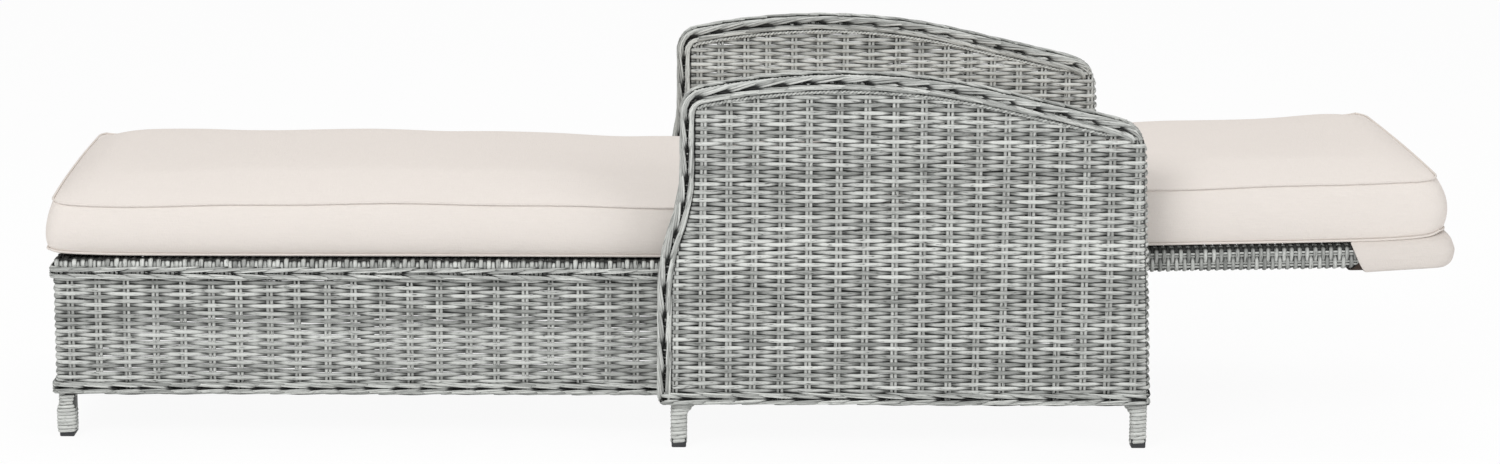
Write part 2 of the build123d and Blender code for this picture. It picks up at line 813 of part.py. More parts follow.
def head_pocket():
    """Fabric cap pulled over the head end of the back, open towards the hinge."""
    inner_half = back_wrap_half + seat_gap
    outer_half = inner_half + pocket_wall
    bag = plate_y(pocket_profile(pocket_wall), (-outer_half, outer_half))
    hollow = plate_y(pocket_profile(0), (-inner_half, inner_half))
    mouth_x = (back_reach - pocket_length - pocket_front_lean, back_reach - pocket_length + pocket_front_lean * 2)
    mouth = box(mouth_x, (-inner_half, inner_half), (back_bottom - seat_gap, back_top + seat_gap))
    return tilted(bag - hollow - mouth)


parts = {
    "base_bottom_rail_right": base_bottom_rail(),
    "base_bottom_rail_left": left(base_bottom_rail()),
    "base_top_rail_right": base_top_rail(),
    "base_top_rail_left": left(base_top_rail()),
    "base_rear_side_rail_right": base_rear_side_rail() - rail_screw_holes(),
    "base_rear_side_rail_left": left(base_rear_side_rail() - rail_screw_holes()),
    "foot_cross_rails": foot_cross_rails(),
    "hinge_cross_rail": hinge_cross_rail(),
    "rear_cross_rails": rear_cross_rails(),
    "base_posts": base_posts(),
    "deck_bars": deck_bars(),
    "seat_deck": seat_deck(),
    "base_side_skin_right": base_side_skin(),
    "base_side_skin_left": left(base_side_skin()),
    "base_foot_skin": base_foot_skin(),
    "base_rear_skin": base_rear_skin(),
    "base_top_plait": base_top_plait(),
    "base_bottom_plait": base_bottom_plait(),
    "arm_shell_right": arm_shell(),
    "arm_shell_left": left(arm_shell()),
    "arm_frame_right": arm_frame(),
    "arm_frame_left": left(arm_frame()),
    "arm_plaits_right": arm_plaits(),
    "arm_plaits_left": left(arm_plaits()),
    "foot_leg_tubes": pair(leg_tube(foot_leg_x, side_range, rail_bottom)),
    "arm_front_leg_tubes": pair(leg_tube(front_leg_x, arm_leg_range, arm_frame_bottom)),
    "arm_rear_leg_tubes": pair(leg_tube(rear_leg_x, arm_leg_range, arm_frame_bottom)),
    "foot_leg_wraps": pair(leg_wrap(foot_leg_x, side_range, 1)),
    "arm_front_leg_wraps": pair(leg_wrap(front_leg_x, arm_leg_range, 1)),
    "arm_rear_leg_wraps": pair(leg_wrap(rear_leg_x, arm_leg_range, -1)),
    "leg_caps": leg_caps(),
    "arm_bolts": arm_bolts(),
    "arm_spacers": arm_spacers(),
    "hinge_plate_right": hinge_plate(),
    "hinge_plate_left": left(hinge_plate()),
    "hinge_pins": pair(hinge_pin()),
    "hinge_washers": pair(hinge_washer()),
    "hinge_screws": hinge_screws(),
    "stay_rack_right": rack(),
    "stay_rack_left": left(rack()),
    "rest_buffers": pair(rest_buffer()),
    "seat_cushion": seat_cushion(),
    "back_side_rail_right": back_side_rail(),
    "back_side_rail_left": left(back_side_rail()),
    "back_bars": back_bars(),
    "back_deck": back_deck(),
    "back_edge_wrap_right": back_edge_wrap(),
    "back_edge_wrap_left": left(back_edge_wrap()),
    "head_roll": head_roll(),
    "hinge_ear_right": tilted(hinge_ear()),
    "hinge_ear_left": left(tilted(hinge_ear())),
    "stay_shaft": stay_shaft(),
    "stay_leg_right": stay_leg(),
    "stay_leg_left": left(stay_leg()),
    "stay_foot_bar": stay_foot_bar(),
    "back_cushion": back_cushion(),
    "head_pocket": head_pocket(),
}

os.makedirs("parts", exist_ok=True)
for name, shape in parts.items():
    export_step(shape, f"parts/{name}.step")

foot_turn = math.degrees(math.atan2(stay_foot_depth - raised_pivot_z, stay_foot_place - raised_pivot_x))
print("stay length", round(stay_length, 3))
print("stay turns", round((foot_turn - top_angle) / back_travel, 6), "times the back")
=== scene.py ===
"""Looks of a woven garden lounger that lies flat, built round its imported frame.

Lengths are in metres. X runs from the foot end to the head end, Y across, Z up.
"""

import json
import logging
import math
from collections.abc import Callable
from dataclasses import dataclass, field
from enum import Enum

import bpy
import numpy as np
from mathutils import Matrix, Vector


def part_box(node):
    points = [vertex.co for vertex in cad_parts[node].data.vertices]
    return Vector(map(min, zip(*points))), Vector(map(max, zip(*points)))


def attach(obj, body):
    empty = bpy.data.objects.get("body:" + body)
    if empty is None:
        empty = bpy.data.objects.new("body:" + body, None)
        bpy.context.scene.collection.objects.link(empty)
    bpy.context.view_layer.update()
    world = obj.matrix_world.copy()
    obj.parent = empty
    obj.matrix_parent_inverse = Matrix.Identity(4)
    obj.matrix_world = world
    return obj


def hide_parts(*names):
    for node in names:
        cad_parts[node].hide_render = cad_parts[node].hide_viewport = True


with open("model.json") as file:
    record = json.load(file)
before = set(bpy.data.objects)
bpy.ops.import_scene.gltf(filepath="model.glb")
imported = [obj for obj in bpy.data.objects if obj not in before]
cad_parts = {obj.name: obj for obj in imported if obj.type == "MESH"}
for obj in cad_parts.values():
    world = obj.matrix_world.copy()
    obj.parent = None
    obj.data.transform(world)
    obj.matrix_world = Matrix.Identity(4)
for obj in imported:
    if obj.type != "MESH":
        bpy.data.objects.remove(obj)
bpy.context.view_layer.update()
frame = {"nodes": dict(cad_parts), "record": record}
LOG = logging.getLogger("lounger")

Point = tuple[float, float, float]
Colour = tuple[float, float, float]
Knots = tuple[np.ndarray, np.ndarray]
Lift = Callable[[np.ndarray, bool], np.ndarray]
Shade = Callable[[np.ndarray], np.ndarray]
ALONG, ACROSS, UP = (1.0, 0.0, 0.0), (0.0, 1.0, 0.0), (0.0, 0.0, 1.0)


class Side(Enum):
    """Left is the near side at minus Y, right the far side at plus Y."""

    LEFT = -1
    RIGHT = 1

    @property
    def label(self) -> str:
        """The side's word in the names of nodes and pieces."""
        return self.name.lower()


# Shader helpers


class Wire:
    """A shader socket that takes part in arithmetic."""

    def __init__(self, bench: "Bench", socket: bpy.types.NodeSocket) -> None:
        """Keeps the socket and the bench that it belongs to.

        Args:
            bench: the material's node bench.
            socket: the output socket to wrap.
        """
        self.bench, self.socket = bench, socket

    def _with(self, operation: str, first: object, second: object) -> "Wire":
        """A Math node on two values.

        Args:
            operation: the Math node's operation.
            first: a wire or a number.
            second: a wire or a number.

        Returns:
            The node's result.
        """
        return self.bench.node("ShaderNodeMath", {"operation": operation}, {0: first, 1: second})

    def __add__(self, other: object) -> "Wire":
        """Sum."""
        return self._with("ADD", self, other)

    __radd__ = __add__

    def __sub__(self, other: object) -> "Wire":
        """Difference."""
        return self._with("SUBTRACT", self, other)

    def __rsub__(self, other: object) -> "Wire":
        """Difference, the other way round."""
        return self._with("SUBTRACT", other, self)

    def __mul__(self, other: object) -> "Wire":
        """Product."""
        return self._with("MULTIPLY", self, other)

    __rmul__ = __mul__


class Bench:
    """Node tree of one material."""

    def __init__(self, name: str) -> None:
        """Starts an empty material.

        Args:
            name: the material's name.
        """
        self.material = bpy.data.materials.new(name)
        self.material.use_nodes = True
        self.tree = self.material.node_tree
        self.tree.nodes.clear()

    def node(self, kind: str, settings: dict | None = None, inputs: dict | None = None,
             output: int | str = 0) -> Wire:
        """Adds a node.

        Args:
            kind: the node's type.
            settings: attributes that are set first; "stops" holds a ramp's positions and colours.
            inputs: a value or a wire for each socket, by name or number.
            output: the output socket to return.

        Returns:
            The chosen output.
        """
        made = self.tree.nodes.new(kind)
        for key, value in (settings or {}).items():
            if key == "stops":
                ramp = made.color_ramp
                while len(ramp.elements) < len(value):
                    ramp.elements.new(0.5)
                for element, (place, colour) in zip(ramp.elements, value):
                    element.position, element.color = place, (*colour, 1.0)
            else:
                setattr(made, key, value)
        for key, value in (inputs or {}).items():
            if isinstance(value, Wire):
                self.tree.links.new(value.socket, made.inputs[key])
            else:
                made.inputs[key].default_value = value
        return Wire(self, made.outputs[output])

    def mix(self, factor: object, first: object, second: object) -> Wire:
        """Mixes two colours.

        Args:
            factor: a wire or a number from 0 to 1.
            first: the colour at 0.
            second: the colour at 1.

        Returns:
            The mixed colour.
        """
        first, second = [(*c, 1.0) if isinstance(c, tuple) and len(c) == 3 else c for c in (first, second)]
        return self.node("ShaderNodeMix", {"data_type": "RGBA"}, {0: factor, 6: first, 7: second}, 2)

    def noise(self, where: Wire, scale: float, detail: float = 2.0, roughness: float = 0.5) -> Wire:
        """Noise at a place.

        Args:
            where: the coordinates.
            scale: cycles per unit.
            detail: octaves.
            roughness: weight of the finer octaves.

        Returns:
            A value from 0 to 1.
        """
        settings = {"Vector": where, "Scale": scale, "Detail": detail, "Roughness": roughness}
        return self.node("ShaderNodeTexNoise", {"normalize": True}, settings)

    def stretched(self, where: Wire, factors: Point) -> Wire:
        """Coordinates scaled by a factor on each axis.

        Args:
            where: the coordinates.
            factors: one factor for each axis.

        Returns:
            The scaled coordinates.
        """
        return self.node("ShaderNodeVectorMath", {"operation": "MULTIPLY"}, {0: where, 1: factors})

    def ramp(self, value: Wire, low: float, high: float) -> Wire:
        """Maps a range of a value to 0 to 1, clamped.

        Args:
            value: the value.
            low: what becomes 0.
            high: what becomes 1.

        Returns:
            The mapped value.
        """
        inputs = {"Value": value, "From Min": low, "From Max": high}
        return self.node("ShaderNodeMapRange", {"clamp": True}, inputs)

    def bump(self, height: Wire, distance: float, strength: float = 1.0) -> Wire:
        """Bump from a height.

        Args:
            height: the height, from 0 to 1.
            distance: the distance that a height of 1 stands for.
            strength: how much of it shows.

        Returns:
            The normal.
        """
        inputs = {"Height": height, "Distance": distance, "Strength": strength}
        return self.node("ShaderNodeBump", None, inputs)

    def close(self, sockets: dict) -> bpy.types.Material:
        """Adds the shader and the output.

        Args:
            sockets: a value or a wire for each socket of the shader.

        Returns:
            The finished material.
        """
        shader = self.node("ShaderNodeBsdfPrincipled", None, sockets)
        self.show(shader)
        return self.material

    def show(self, shader: Wire) -> None:
        """Links a shader to a new output."""
        output = self.tree.nodes.new("ShaderNodeOutputMaterial")
        self.tree.links.new(shader.socket, output.inputs["Surface"])


@dataclass(frozen=True)
class WickerFinish:
    """Round synthetic strand: streaked grey, with painted shade that leaves it lighter where it stands proud
    and darker where it lies deep.
    """

    name: str
    light: Colour
    middle: Colour
    dark: Colour
    roughness: float = 0.5

    def material(self) -> bpy.types.Material:
        """Builds the strand's material from its own UV map and attributes.

        Returns:
            The material.
        """
        bench = Bench(self.name)
        along = bench.node("ShaderNodeUVMap", {"uv_map": "strand"})
        fibre = bench.noise(bench.stretched(along, (60.0, 8.0, 1.0)), 1.0, 3.0, 0.62)
        patch = bench.noise(bench.stretched(along, (8.0, 0.4, 1.0)), 1.0, 1.0)
        tone = bench.node("ShaderNodeAttribute", {"attribute_name": "tone"}, None, "Fac")
        depth = bench.node("ShaderNodeAttribute", {"attribute_name": "depth"}, None, "Fac")
        streak = bench.ramp(fibre + patch * 1.2 + tone * 0.7, 1.05, 1.85)
        body = bench.mix(streak, self.middle, self.light)
        body = bench.mix(bench.ramp(fibre, 0.42, 0.30), body, self.dark)
        # Painted shade: the strand turns dark where it lies deep or under its neighbours.
        colour = bench.mix(bench.ramp(depth, 0.22, 0.86), self.dark, body)
        return bench.close({
            "Base Color": colour,
            "Roughness": self.roughness + fibre * 0.2,
            "Normal": bench.bump(fibre, 0.0006, 0.6),
            "Specular IOR Level": 0.35,
        })


@dataclass(frozen=True)
class ClothFinish:
    """Plain woven outdoor canvas with fine slubs."""

    name: str
    colour: Colour
    shade: Colour
    thread: float = 900.0

    def material(self) -> bpy.types.Material:
        """Builds the canvas from object coordinates.

        Returns:
            The material.
        """
        bench, fine, long = Bench(self.name), self.thread, self.thread * 0.05
        place = bench.node("ShaderNodeTexCoord", None, None, "Object")
        warp = bench.noise(bench.stretched(place, (fine, long, fine * 0.3)), 1.0, 2.0, 0.6)
        weft = bench.noise(bench.stretched(place, (long, fine, fine)), 1.0, 2.0, 0.6)
        cloud = bench.noise(place, 6.0, 3.0)
        slub = bench.ramp(warp * 0.5 + weft * 0.5, 0.35, 0.65)
        colour = bench.mix(slub * 0.55 + cloud * 0.35, self.shade, self.colour)
        crease = bench.noise(bench.stretched(place, (7.0, 11.0, 9.0)), 1.0, 3.0, 0.45)
        height = slub * 0.18 + crease * 0.82
        return bench.close({
            "Base Color": colour,
            "Roughness": 0.86 + slub * 0.08,
            "Normal": bench.bump(height, 0.0030, 0.5),
            "Specular IOR Level": 0.04,
            "Sheen Weight": 0.18,
            "Sheen Roughness": 0.6,
            "Sheen Tint": (0.98, 0.87, 0.79, 1.0),
        })


@dataclass(frozen=True)
class HardFinish:
    """Painted, plated, moulded or rubber surface with a fine grain."""

    name: str
    colour: Colour
    worn: Colour
    metallic: float
    roughness: float
    grain: float

    def material(self) -> bpy.types.Material:
        """Builds the surface from object coordinates.

        Returns:
            The material.
        """
        bench = Bench(self.name)
        place = bench.node("ShaderNodeTexCoord", None, None, "Object")
        fine = bench.noise(place, self.grain, 2.0)
        broad = bench.noise(place, 23.0, 3.0, 0.6)
        colour = bench.mix(bench.ramp(broad, 0.45, 0.72), self.colour, self.worn)
        return bench.close({
            "Base Color": colour,
            "Metallic": self.metallic,
            "Roughness": self.roughness + fine * 0.12 + broad * 0.08,
            "Normal": bench.bump(fine, 0.0002, 0.5),
        })


class Finishes:
    """Every finish of the lounger."""

    def __init__(self) -> None:
        """Builds each material once."""
        light, dark = (0.72, 0.735, 0.705), (0.022, 0.023, 0.022)
        self.rows = WickerFinish("wicker_rows", light, (0.27, 0.278, 0.265), dark).material()
        # Painted shade: the base's rows take a darker copy of the rows' finish.
        self.base_rows_painted_shade = WickerFinish("wicker_base_rows", (0.66, 0.674, 0.646), (0.235, 0.242, 0.231),
                                      dark).material()
        self.stakes = WickerFinish("wicker_stakes", (0.74, 0.755, 0.725), (0.42, 0.43, 0.41), dark).material()
        self.rims = WickerFinish("wicker_rims", light, (0.30, 0.309, 0.295), dark).material()
        self.canvas = ClothFinish("cushion_canvas", (0.82, 0.765, 0.72), (0.765, 0.712, 0.668)).material()
        # Painted shade: the pocket's canvas is a darker copy of the cushion's.
        self.pocket = ClothFinish("pocket_canvas_painted_shade", (0.735, 0.683, 0.642), (0.69, 0.641, 0.60)).material()
        self.piping = ClothFinish("cushion_piping", (0.80, 0.745, 0.70), (0.72, 0.668, 0.622)).material()
        # A near-black sheet at the pocket's mouth.
        self.dark_sheet_finish = ClothFinish("pocket_dark_sheet", (0.055, 0.04, 0.032), (0.03, 0.022, 0.018)).material()
        self.tube = HardFinish("tube_powder_coat", (0.055, 0.057, 0.055), (0.085, 0.087, 0.085),
                               0.0, 0.45, 900.0).material()
        self.steel = HardFinish("fitting_zinc", (0.55, 0.55, 0.54), (0.42, 0.42, 0.42),
                                1.0, 0.28, 300.0).material()
        self.cap = HardFinish("cap_moulding", (0.03, 0.032, 0.035), (0.05, 0.052, 0.055),
                              0.0, 0.5, 1200.0).material()
        self.nylon = HardFinish("washer_nylon", (0.72, 0.72, 0.69), (0.62, 0.62, 0.6),
                                0.0, 0.4, 800.0).material()
        self.rubber = HardFinish("buffer_rubber", (0.02, 0.02, 0.02), (0.035, 0.035, 0.035),
                                 0.0, 0.7, 700.0).material()


# Mesh helpers


def measured(line: np.ndarray) -> np.ndarray:
    """Distances along a line of points, from 0 at the first."""
    return np.concatenate([[0.0], np.cumsum(np.linalg.norm(np.diff(line, axis=0), axis=1))])


def sampled(at: np.ndarray, marks: np.ndarray, rows: np.ndarray) -> np.ndarray:
    """Rows of values that belong to marks, read off at other marks."""
    return np.stack([np.interp(at, marks, column) for column in rows.T], 1)


def unit(vectors: np.ndarray) -> np.ndarray:
    """Vectors brought to a length of 1."""
    return vectors / (np.linalg.norm(vectors, axis=1, keepdims=True) + 1e-12)


def steady(direction: Point, count: int) -> np.ndarray:
    """One direction repeated for a number of points."""
    return np.broadcast_to(np.array(direction, float), (count, 3))


def at_level(z: float) -> Lift:
    """Makes the function that puts flat points, along and across, at a height."""
    return lambda flat, direction: np.column_stack([flat, np.full(len(flat), 0.0 if direction else z)])


def at_place(x: float) -> Lift:
    """Makes the function that puts flat points, across and up, at a place along the lounger."""
    return lambda flat, direction: np.column_stack([np.full(len(flat), 0.0 if direction else x), flat])


def at_side(flat: np.ndarray, y: float | np.ndarray) -> np.ndarray:
    """Puts flat points, along and up, at a place across the lounger."""
    return np.column_stack([flat[:, 0], np.broadcast_to(y, len(flat)), flat[:, 1]])


def squares(number: np.ndarray) -> np.ndarray:
    """Four-cornered faces between the neighbours of a sheet of vertex numbers."""
    return np.stack([number[:-1, :-1], number[1:, :-1], number[1:, 1:], number[:-1, 1:]], -1).reshape(-1, 4)


def rounded(x: np.ndarray, y: np.ndarray, half_x: np.ndarray, half_y: np.ndarray,
            radius: np.ndarray) -> tuple[np.ndarray, np.ndarray]:
    """Rounds the corners of a rectangle that stands about the origin.

    Args:
        x: places along it.
        y: places across it.
        half_x: half its length.
        half_y: half its width.
        radius: radius of the corner.

    Returns:
        The places along and across, drawn in where they lie in a corner.
    """
    dx, dy = np.abs(x) - (half_x - radius), np.abs(y) - (half_y - radius)
    corner = (dx > 0) & (dy > 0)
    squeeze = np.where(corner, np.maximum(dx, dy) / np.maximum(np.hypot(dx, dy), 1e-9), 1.0)
    x = np.where(corner, np.sign(x) * (half_x - radius + dx * squeeze), x)
    return x, np.where(corner, np.sign(y) * (half_y - radius + dy * squeeze), y)


def mesh_piece(name: str, points: np.ndarray, quads: np.ndarray,
               rings: np.ndarray | None = None) -> bpy.types.Object:
    """Makes a mesh object from arrays.

    Args:
        name: the piece's name.
        points: vertex places, one row each.
        quads: vertex numbers of the four-cornered faces.
        rings: vertex numbers of faces with more corners, all with the same count.

    Returns:
        The new object, linked to the scene.
    """
    mesh = bpy.data.meshes.new(name)
    mesh.vertices.add(len(points))
    mesh.vertices.foreach_set("co", np.asarray(points, np.float32).ravel())
    corners = [quads.ravel()]
    starts = [np.arange(len(quads)) * 4]
    if rings is not None and len(rings):
        corners.append(rings.ravel())
        starts.append(len(quads) * 4 + np.arange(len(rings)) * rings.shape[1])
    corners, starts = np.concatenate(corners), np.concatenate(starts)
    mesh.loops.add(len(corners))
    mesh.loops.foreach_set("vertex_index", corners.astype(np.int32))
    mesh.polygons.add(len(starts))
    mesh.polygons.foreach_set("loop_start", starts.astype(np.int32))
    mesh.update(calc_edges=True)
    mesh.shade_smooth()
    piece = bpy.data.objects.new(name, mesh)
    bpy.context.scene.collection.objects.link(piece)
    return piece


def only(piece: bpy.types.Object) -> None:
    """Makes one object the selected and active one.

    Args:
        piece: the object.
    """
    bpy.ops.object.select_all(action="DESELECT")
    piece.select_set(True)
    bpy.context.view_layer.objects.active = piece


def places_of(mesh: bpy.types.Mesh) -> np.ndarray:
    """Places of a mesh's vertices, one row each."""
    return np.array([vertex.co for vertex in mesh.vertices])


def move_to(mesh: bpy.types.Mesh, places: np.ndarray) -> None:
    """Puts a mesh's vertices at new places."""
    mesh.vertices.foreach_set("co", places.astype(np.float32).ravel())
    mesh.update()


def smoothed(piece: bpy.types.Object) -> None:
    """Subdivides the active piece once and shades it smooth.

    Args:
        piece: the object.
    """
    smooth = piece.modifiers.new("smooth", "SUBSURF")
    smooth.levels = smooth.render_levels = 1
    bpy.ops.object.modifier_apply(modifier=smooth.name)
    piece.data.shade_smooth()


def finish(piece: bpy.types.Object, material: bpy.types.Material,
           nodes: list[str]) -> bpy.types.Object:
    """Gives a piece its finish and hides the nodes that it stands for.

    Args:
        piece: the object.
        material: its material.
        nodes: names of the nodes that it replaces.

    Returns:
        The same object.
    """
    piece.data.materials.clear()
    piece.data.materials.append(material)
    if nodes:
        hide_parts(*nodes)
    LOG.info("%s: %d faces", piece.name, len(piece.data.polygons))
    return piece


@dataclass
class Strands:
    """Strands swept along centre lines and gathered in one mesh."""

    seed: int
    sides: int = 6
    end_size: float = 0.6
    # Painted shade: how light a strand's flanks stay beside its crest.
    side_light: float = 0.12
    map_reach: float = 9.0
    points: list[np.ndarray] = field(default_factory=list)
    quads: list[np.ndarray] = field(default_factory=list)
    caps: list[np.ndarray] = field(default_factory=list)
    maps: list[np.ndarray] = field(default_factory=list)
    cap_maps: list[np.ndarray] = field(default_factory=list)
    tones: list[np.ndarray] = field(default_factory=list)
    painted_shadings: list[np.ndarray] = field(default_factory=list)
    count: int = 0

    def __post_init__(self) -> None:
        """Starts the strand lottery."""
        self.lottery = np.random.default_rng(self.seed)

    def add(self, line: np.ndarray, outward: np.ndarray, flat: float, wide: float | np.ndarray,
            depth: np.ndarray | None = None, closed: bool = False, clean: np.ndarray | None = None,
            behind: np.ndarray | None = None) -> None:
        """Sweeps one strand.

        Args:
            line: points of the centre line.
            outward: outward direction at each point.
            flat: half thickness along the outward direction.
            wide: half width across it, one for all or one for each point.
            depth: painted shade, 1 where the strand stands proud and 0 where it lies deep.
            closed: whether the ends meet.
            clean: painted light on the sides, 1 where they stay as light as the middle, 0 where they are dark.
            behind: painted shade like depth, for the side that faces inward.
        """
        n, sides = len(line), self.sides
        run = np.roll(line, -1, 0) - np.roll(line, 1, 0) if closed else np.gradient(line, axis=0)
        tangent = unit(run)
        normal = unit(outward - (outward * tangent).sum(1, keepdims=True) * tangent)
        aside = np.cross(tangent, normal)
        size = np.ones((n, 1, 1))
        if not closed:
            size[0] = size[-1] = self.end_size
        turn = np.arange(sides) / sides * 2 * math.pi
        breadth = np.broadcast_to(np.asarray(wide, float), (n,))[:, None, None]
        ring = np.cos(turn)[None, :, None] * normal[:, None, :] * flat
        ring = ring + np.sin(turn)[None, :, None] * aside[:, None, :] * breadth
        self.points.append((line[:, None, :] + ring * size).reshape(-1, 3))
        self.wrap(line, closed)
        self.tones.append(np.full(n * sides, self.lottery.random()))
        deep = np.ones(n) if depth is None else depth
        # Painted shade across each strand: lightest on its crest, darker on its flanks.
        proud = (0.5 + 0.5 * np.cos(turn))[None, :]
        clean = np.zeros(n) if clean is None else clean
        least = self.side_light + (1 - self.side_light) * clean
        light = deep[:, None] * (least[:, None] + (1 - least[:, None]) * proud)
        if behind is not None:
            inward = behind[:, None] * (1 - (1 - self.side_light) * proud)
            light = np.where(np.cos(turn)[None, :] < -0.01, inward, light)
        self.painted_shadings.append(light.ravel())
        self.count += n * sides

    def wrap(self, line: np.ndarray, closed: bool) -> None:
        """Adds one strand's faces and their map.

        Args:
            line: points of the centre line.
            closed: whether the ends meet.
        """
        n, sides, base = len(line), self.sides, self.count
        i, j = np.meshgrid(np.arange(n if closed else n - 1), np.arange(sides), indexing="ij")
        i, j = i.ravel(), j.ravel()
        i2, j2 = (i + 1) % n, (j + 1) % sides
        corners = [i * sides + j, i * sides + j2, i2 * sides + j2, i2 * sides + j]
        self.quads.append(base + np.stack(corners, 1))
        along = measured(np.concatenate([line, line[:1]])) + self.lottery.random() * self.map_reach
        u0, u1, v0, v1 = along[i], along[i + 1], j / sides, (j + 1) / sides
        self.maps.append(np.stack([u0, v0, u0, v1, u1, v1, u1, v0], 1).reshape(-1, 2))
        if not closed:
            last = base + (n - 1) * sides
            self.caps.append(np.stack([base + np.arange(sides)[::-1], last + np.arange(sides)]))
            cap_map = np.full((2, sides, 2), 0.5)
            cap_map[0, :, 0], cap_map[1, :, 0] = along[0], along[n - 1]
            self.cap_maps.append(cap_map.reshape(-1, 2))

    def build(self, name: str) -> bpy.types.Object:
        """Makes the mesh of all strands.

        Args:
            name: the piece's name.

        Returns:
            The object, with its map and attributes.
        """
        caps = np.concatenate(self.caps) if self.caps else None
        piece = mesh_piece(name, np.concatenate(self.points), np.concatenate(self.quads), caps)
        layer = piece.data.uv_layers.new(name="strand")
        layer.data.foreach_set("uv", np.concatenate(self.maps + self.cap_maps).astype(np.float32).ravel())
        for label, values in (("tone", self.tones), ("depth", self.painted_shadings)):
            attribute = piece.data.attributes.new(label, "FLOAT", "POINT")
            attribute.data.foreach_set("value", np.concatenate(values).astype(np.float32))
        return piece


@dataclass
class Route:
    """A flat route with rounded corners, its length and its left-hand normals."""

    corners: list[tuple[float, float]]
    radius: float
    fine: float = 0.002

    def __post_init__(self) -> None:
        """Rounds the corners and measures the route."""
        points, bends = [np.array(self.corners[0])], []
        for before, corner, after in zip(self.corners, self.corners[1:], self.corners[2:]):
            a, b, c = np.array(before), np.array(corner), np.array(after)
            long_a, long_c = np.linalg.norm(a - b), np.linalg.norm(c - b)
            u, v = (a - b) / long_a, (c - b) / long_c
            half = math.acos(max(-1.0, min(1.0, float(u @ v)))) / 2
            reach = min(self.radius / math.tan(half), 0.49 * long_a, 0.49 * long_c)
            start, end = b + u * reach, b + v * reach
            for share in np.linspace(0, 1, 7):
                points.append((1 - share) ** 2 * start + 2 * share * (1 - share) * b + share**2 * end)
            bends.append(len(points) - 4)
        path = np.array([*points, self.corners[-1]])
        lengths = measured(path)
        self.bends = [lengths[i] for i in bends]
        self.bend_marks = [lengths[i + k] for i in bends for k in (-3, -1, 1, 3)]
        self.length = float(lengths[-1])
        self.s = np.linspace(0, self.length, max(3, int(self.length / self.fine) + 1))
        self.path = sampled(self.s, lengths, path)
        tangent = unit(np.gradient(self.path, axis=0))
        self.normal = np.stack([-tangent[:, 1], tangent[:, 0]], 1)

    def at(self, s: np.ndarray) -> tuple[np.ndarray, np.ndarray]:
        """Points and normals at distances along the route."""
        return sampled(s, self.s, self.path), unit(sampled(s, self.s, self.normal))


@dataclass(frozen=True)
class Weave:
    """Sizes of the weave."""

    pitch: float = 0.0060
    stake_pitch: float = 0.0437
    wave: float = 0.0019
    flat: float = 0.0020
    wide: float = 0.0032
    stake_flat: float = 0.0019
    stake_wide: float = 0.0029
    stake_apart: float = 0.0030
    stake_error: float = 0.0014
    end_margin: float = 0.002
    closest: float = 0.0012
    jitter: float = 0.00016
    wander: float = 0.00042
    wander_pitch: float = 0.05
    # Painted shade where rows go under the stakes: its darkest share, the wave it scales with, and where it
    # fades along the wave.
    darkest: float = 0.16
    shadow_wave: float = 0.0011
    bare_from: float = 0.02
    bare_reach: float = 0.30
    swell: float = 0.16


WEAVE = Weave()


def spread(start: float, end: float, pitch: float, lottery: np.random.Generator) -> np.ndarray:
    """Places of stakes set by hand, nearly even.

    Args:
        start: where the run begins.
        end: where it ends.
        pitch: the spacing aimed at.
        lottery: the source of the small errors.

    Returns:
        The places, half a pitch in from both ends.
    """
    count = round((end - start) / pitch)
    most = 2 * WEAVE.stake_error
    error = np.clip(lottery.normal(0, WEAVE.stake_error, count), -most, most)
    return start + (np.arange(count) + 0.5) * (end - start) / count + error


def painted_wave_shade(phase: np.ndarray, wave: float) -> np.ndarray:
    """Painted shade of a row along its wave: light over the stakes, dark where it goes under them."""
    floor = min(1.0, max(WEAVE.darkest, 1.5 - wave / WEAVE.shadow_wave))
    return floor + (1 - floor) * np.clip(((phase + 1) / 2 - WEAVE.bare_from) / WEAVE.bare_reach, 0, 1)


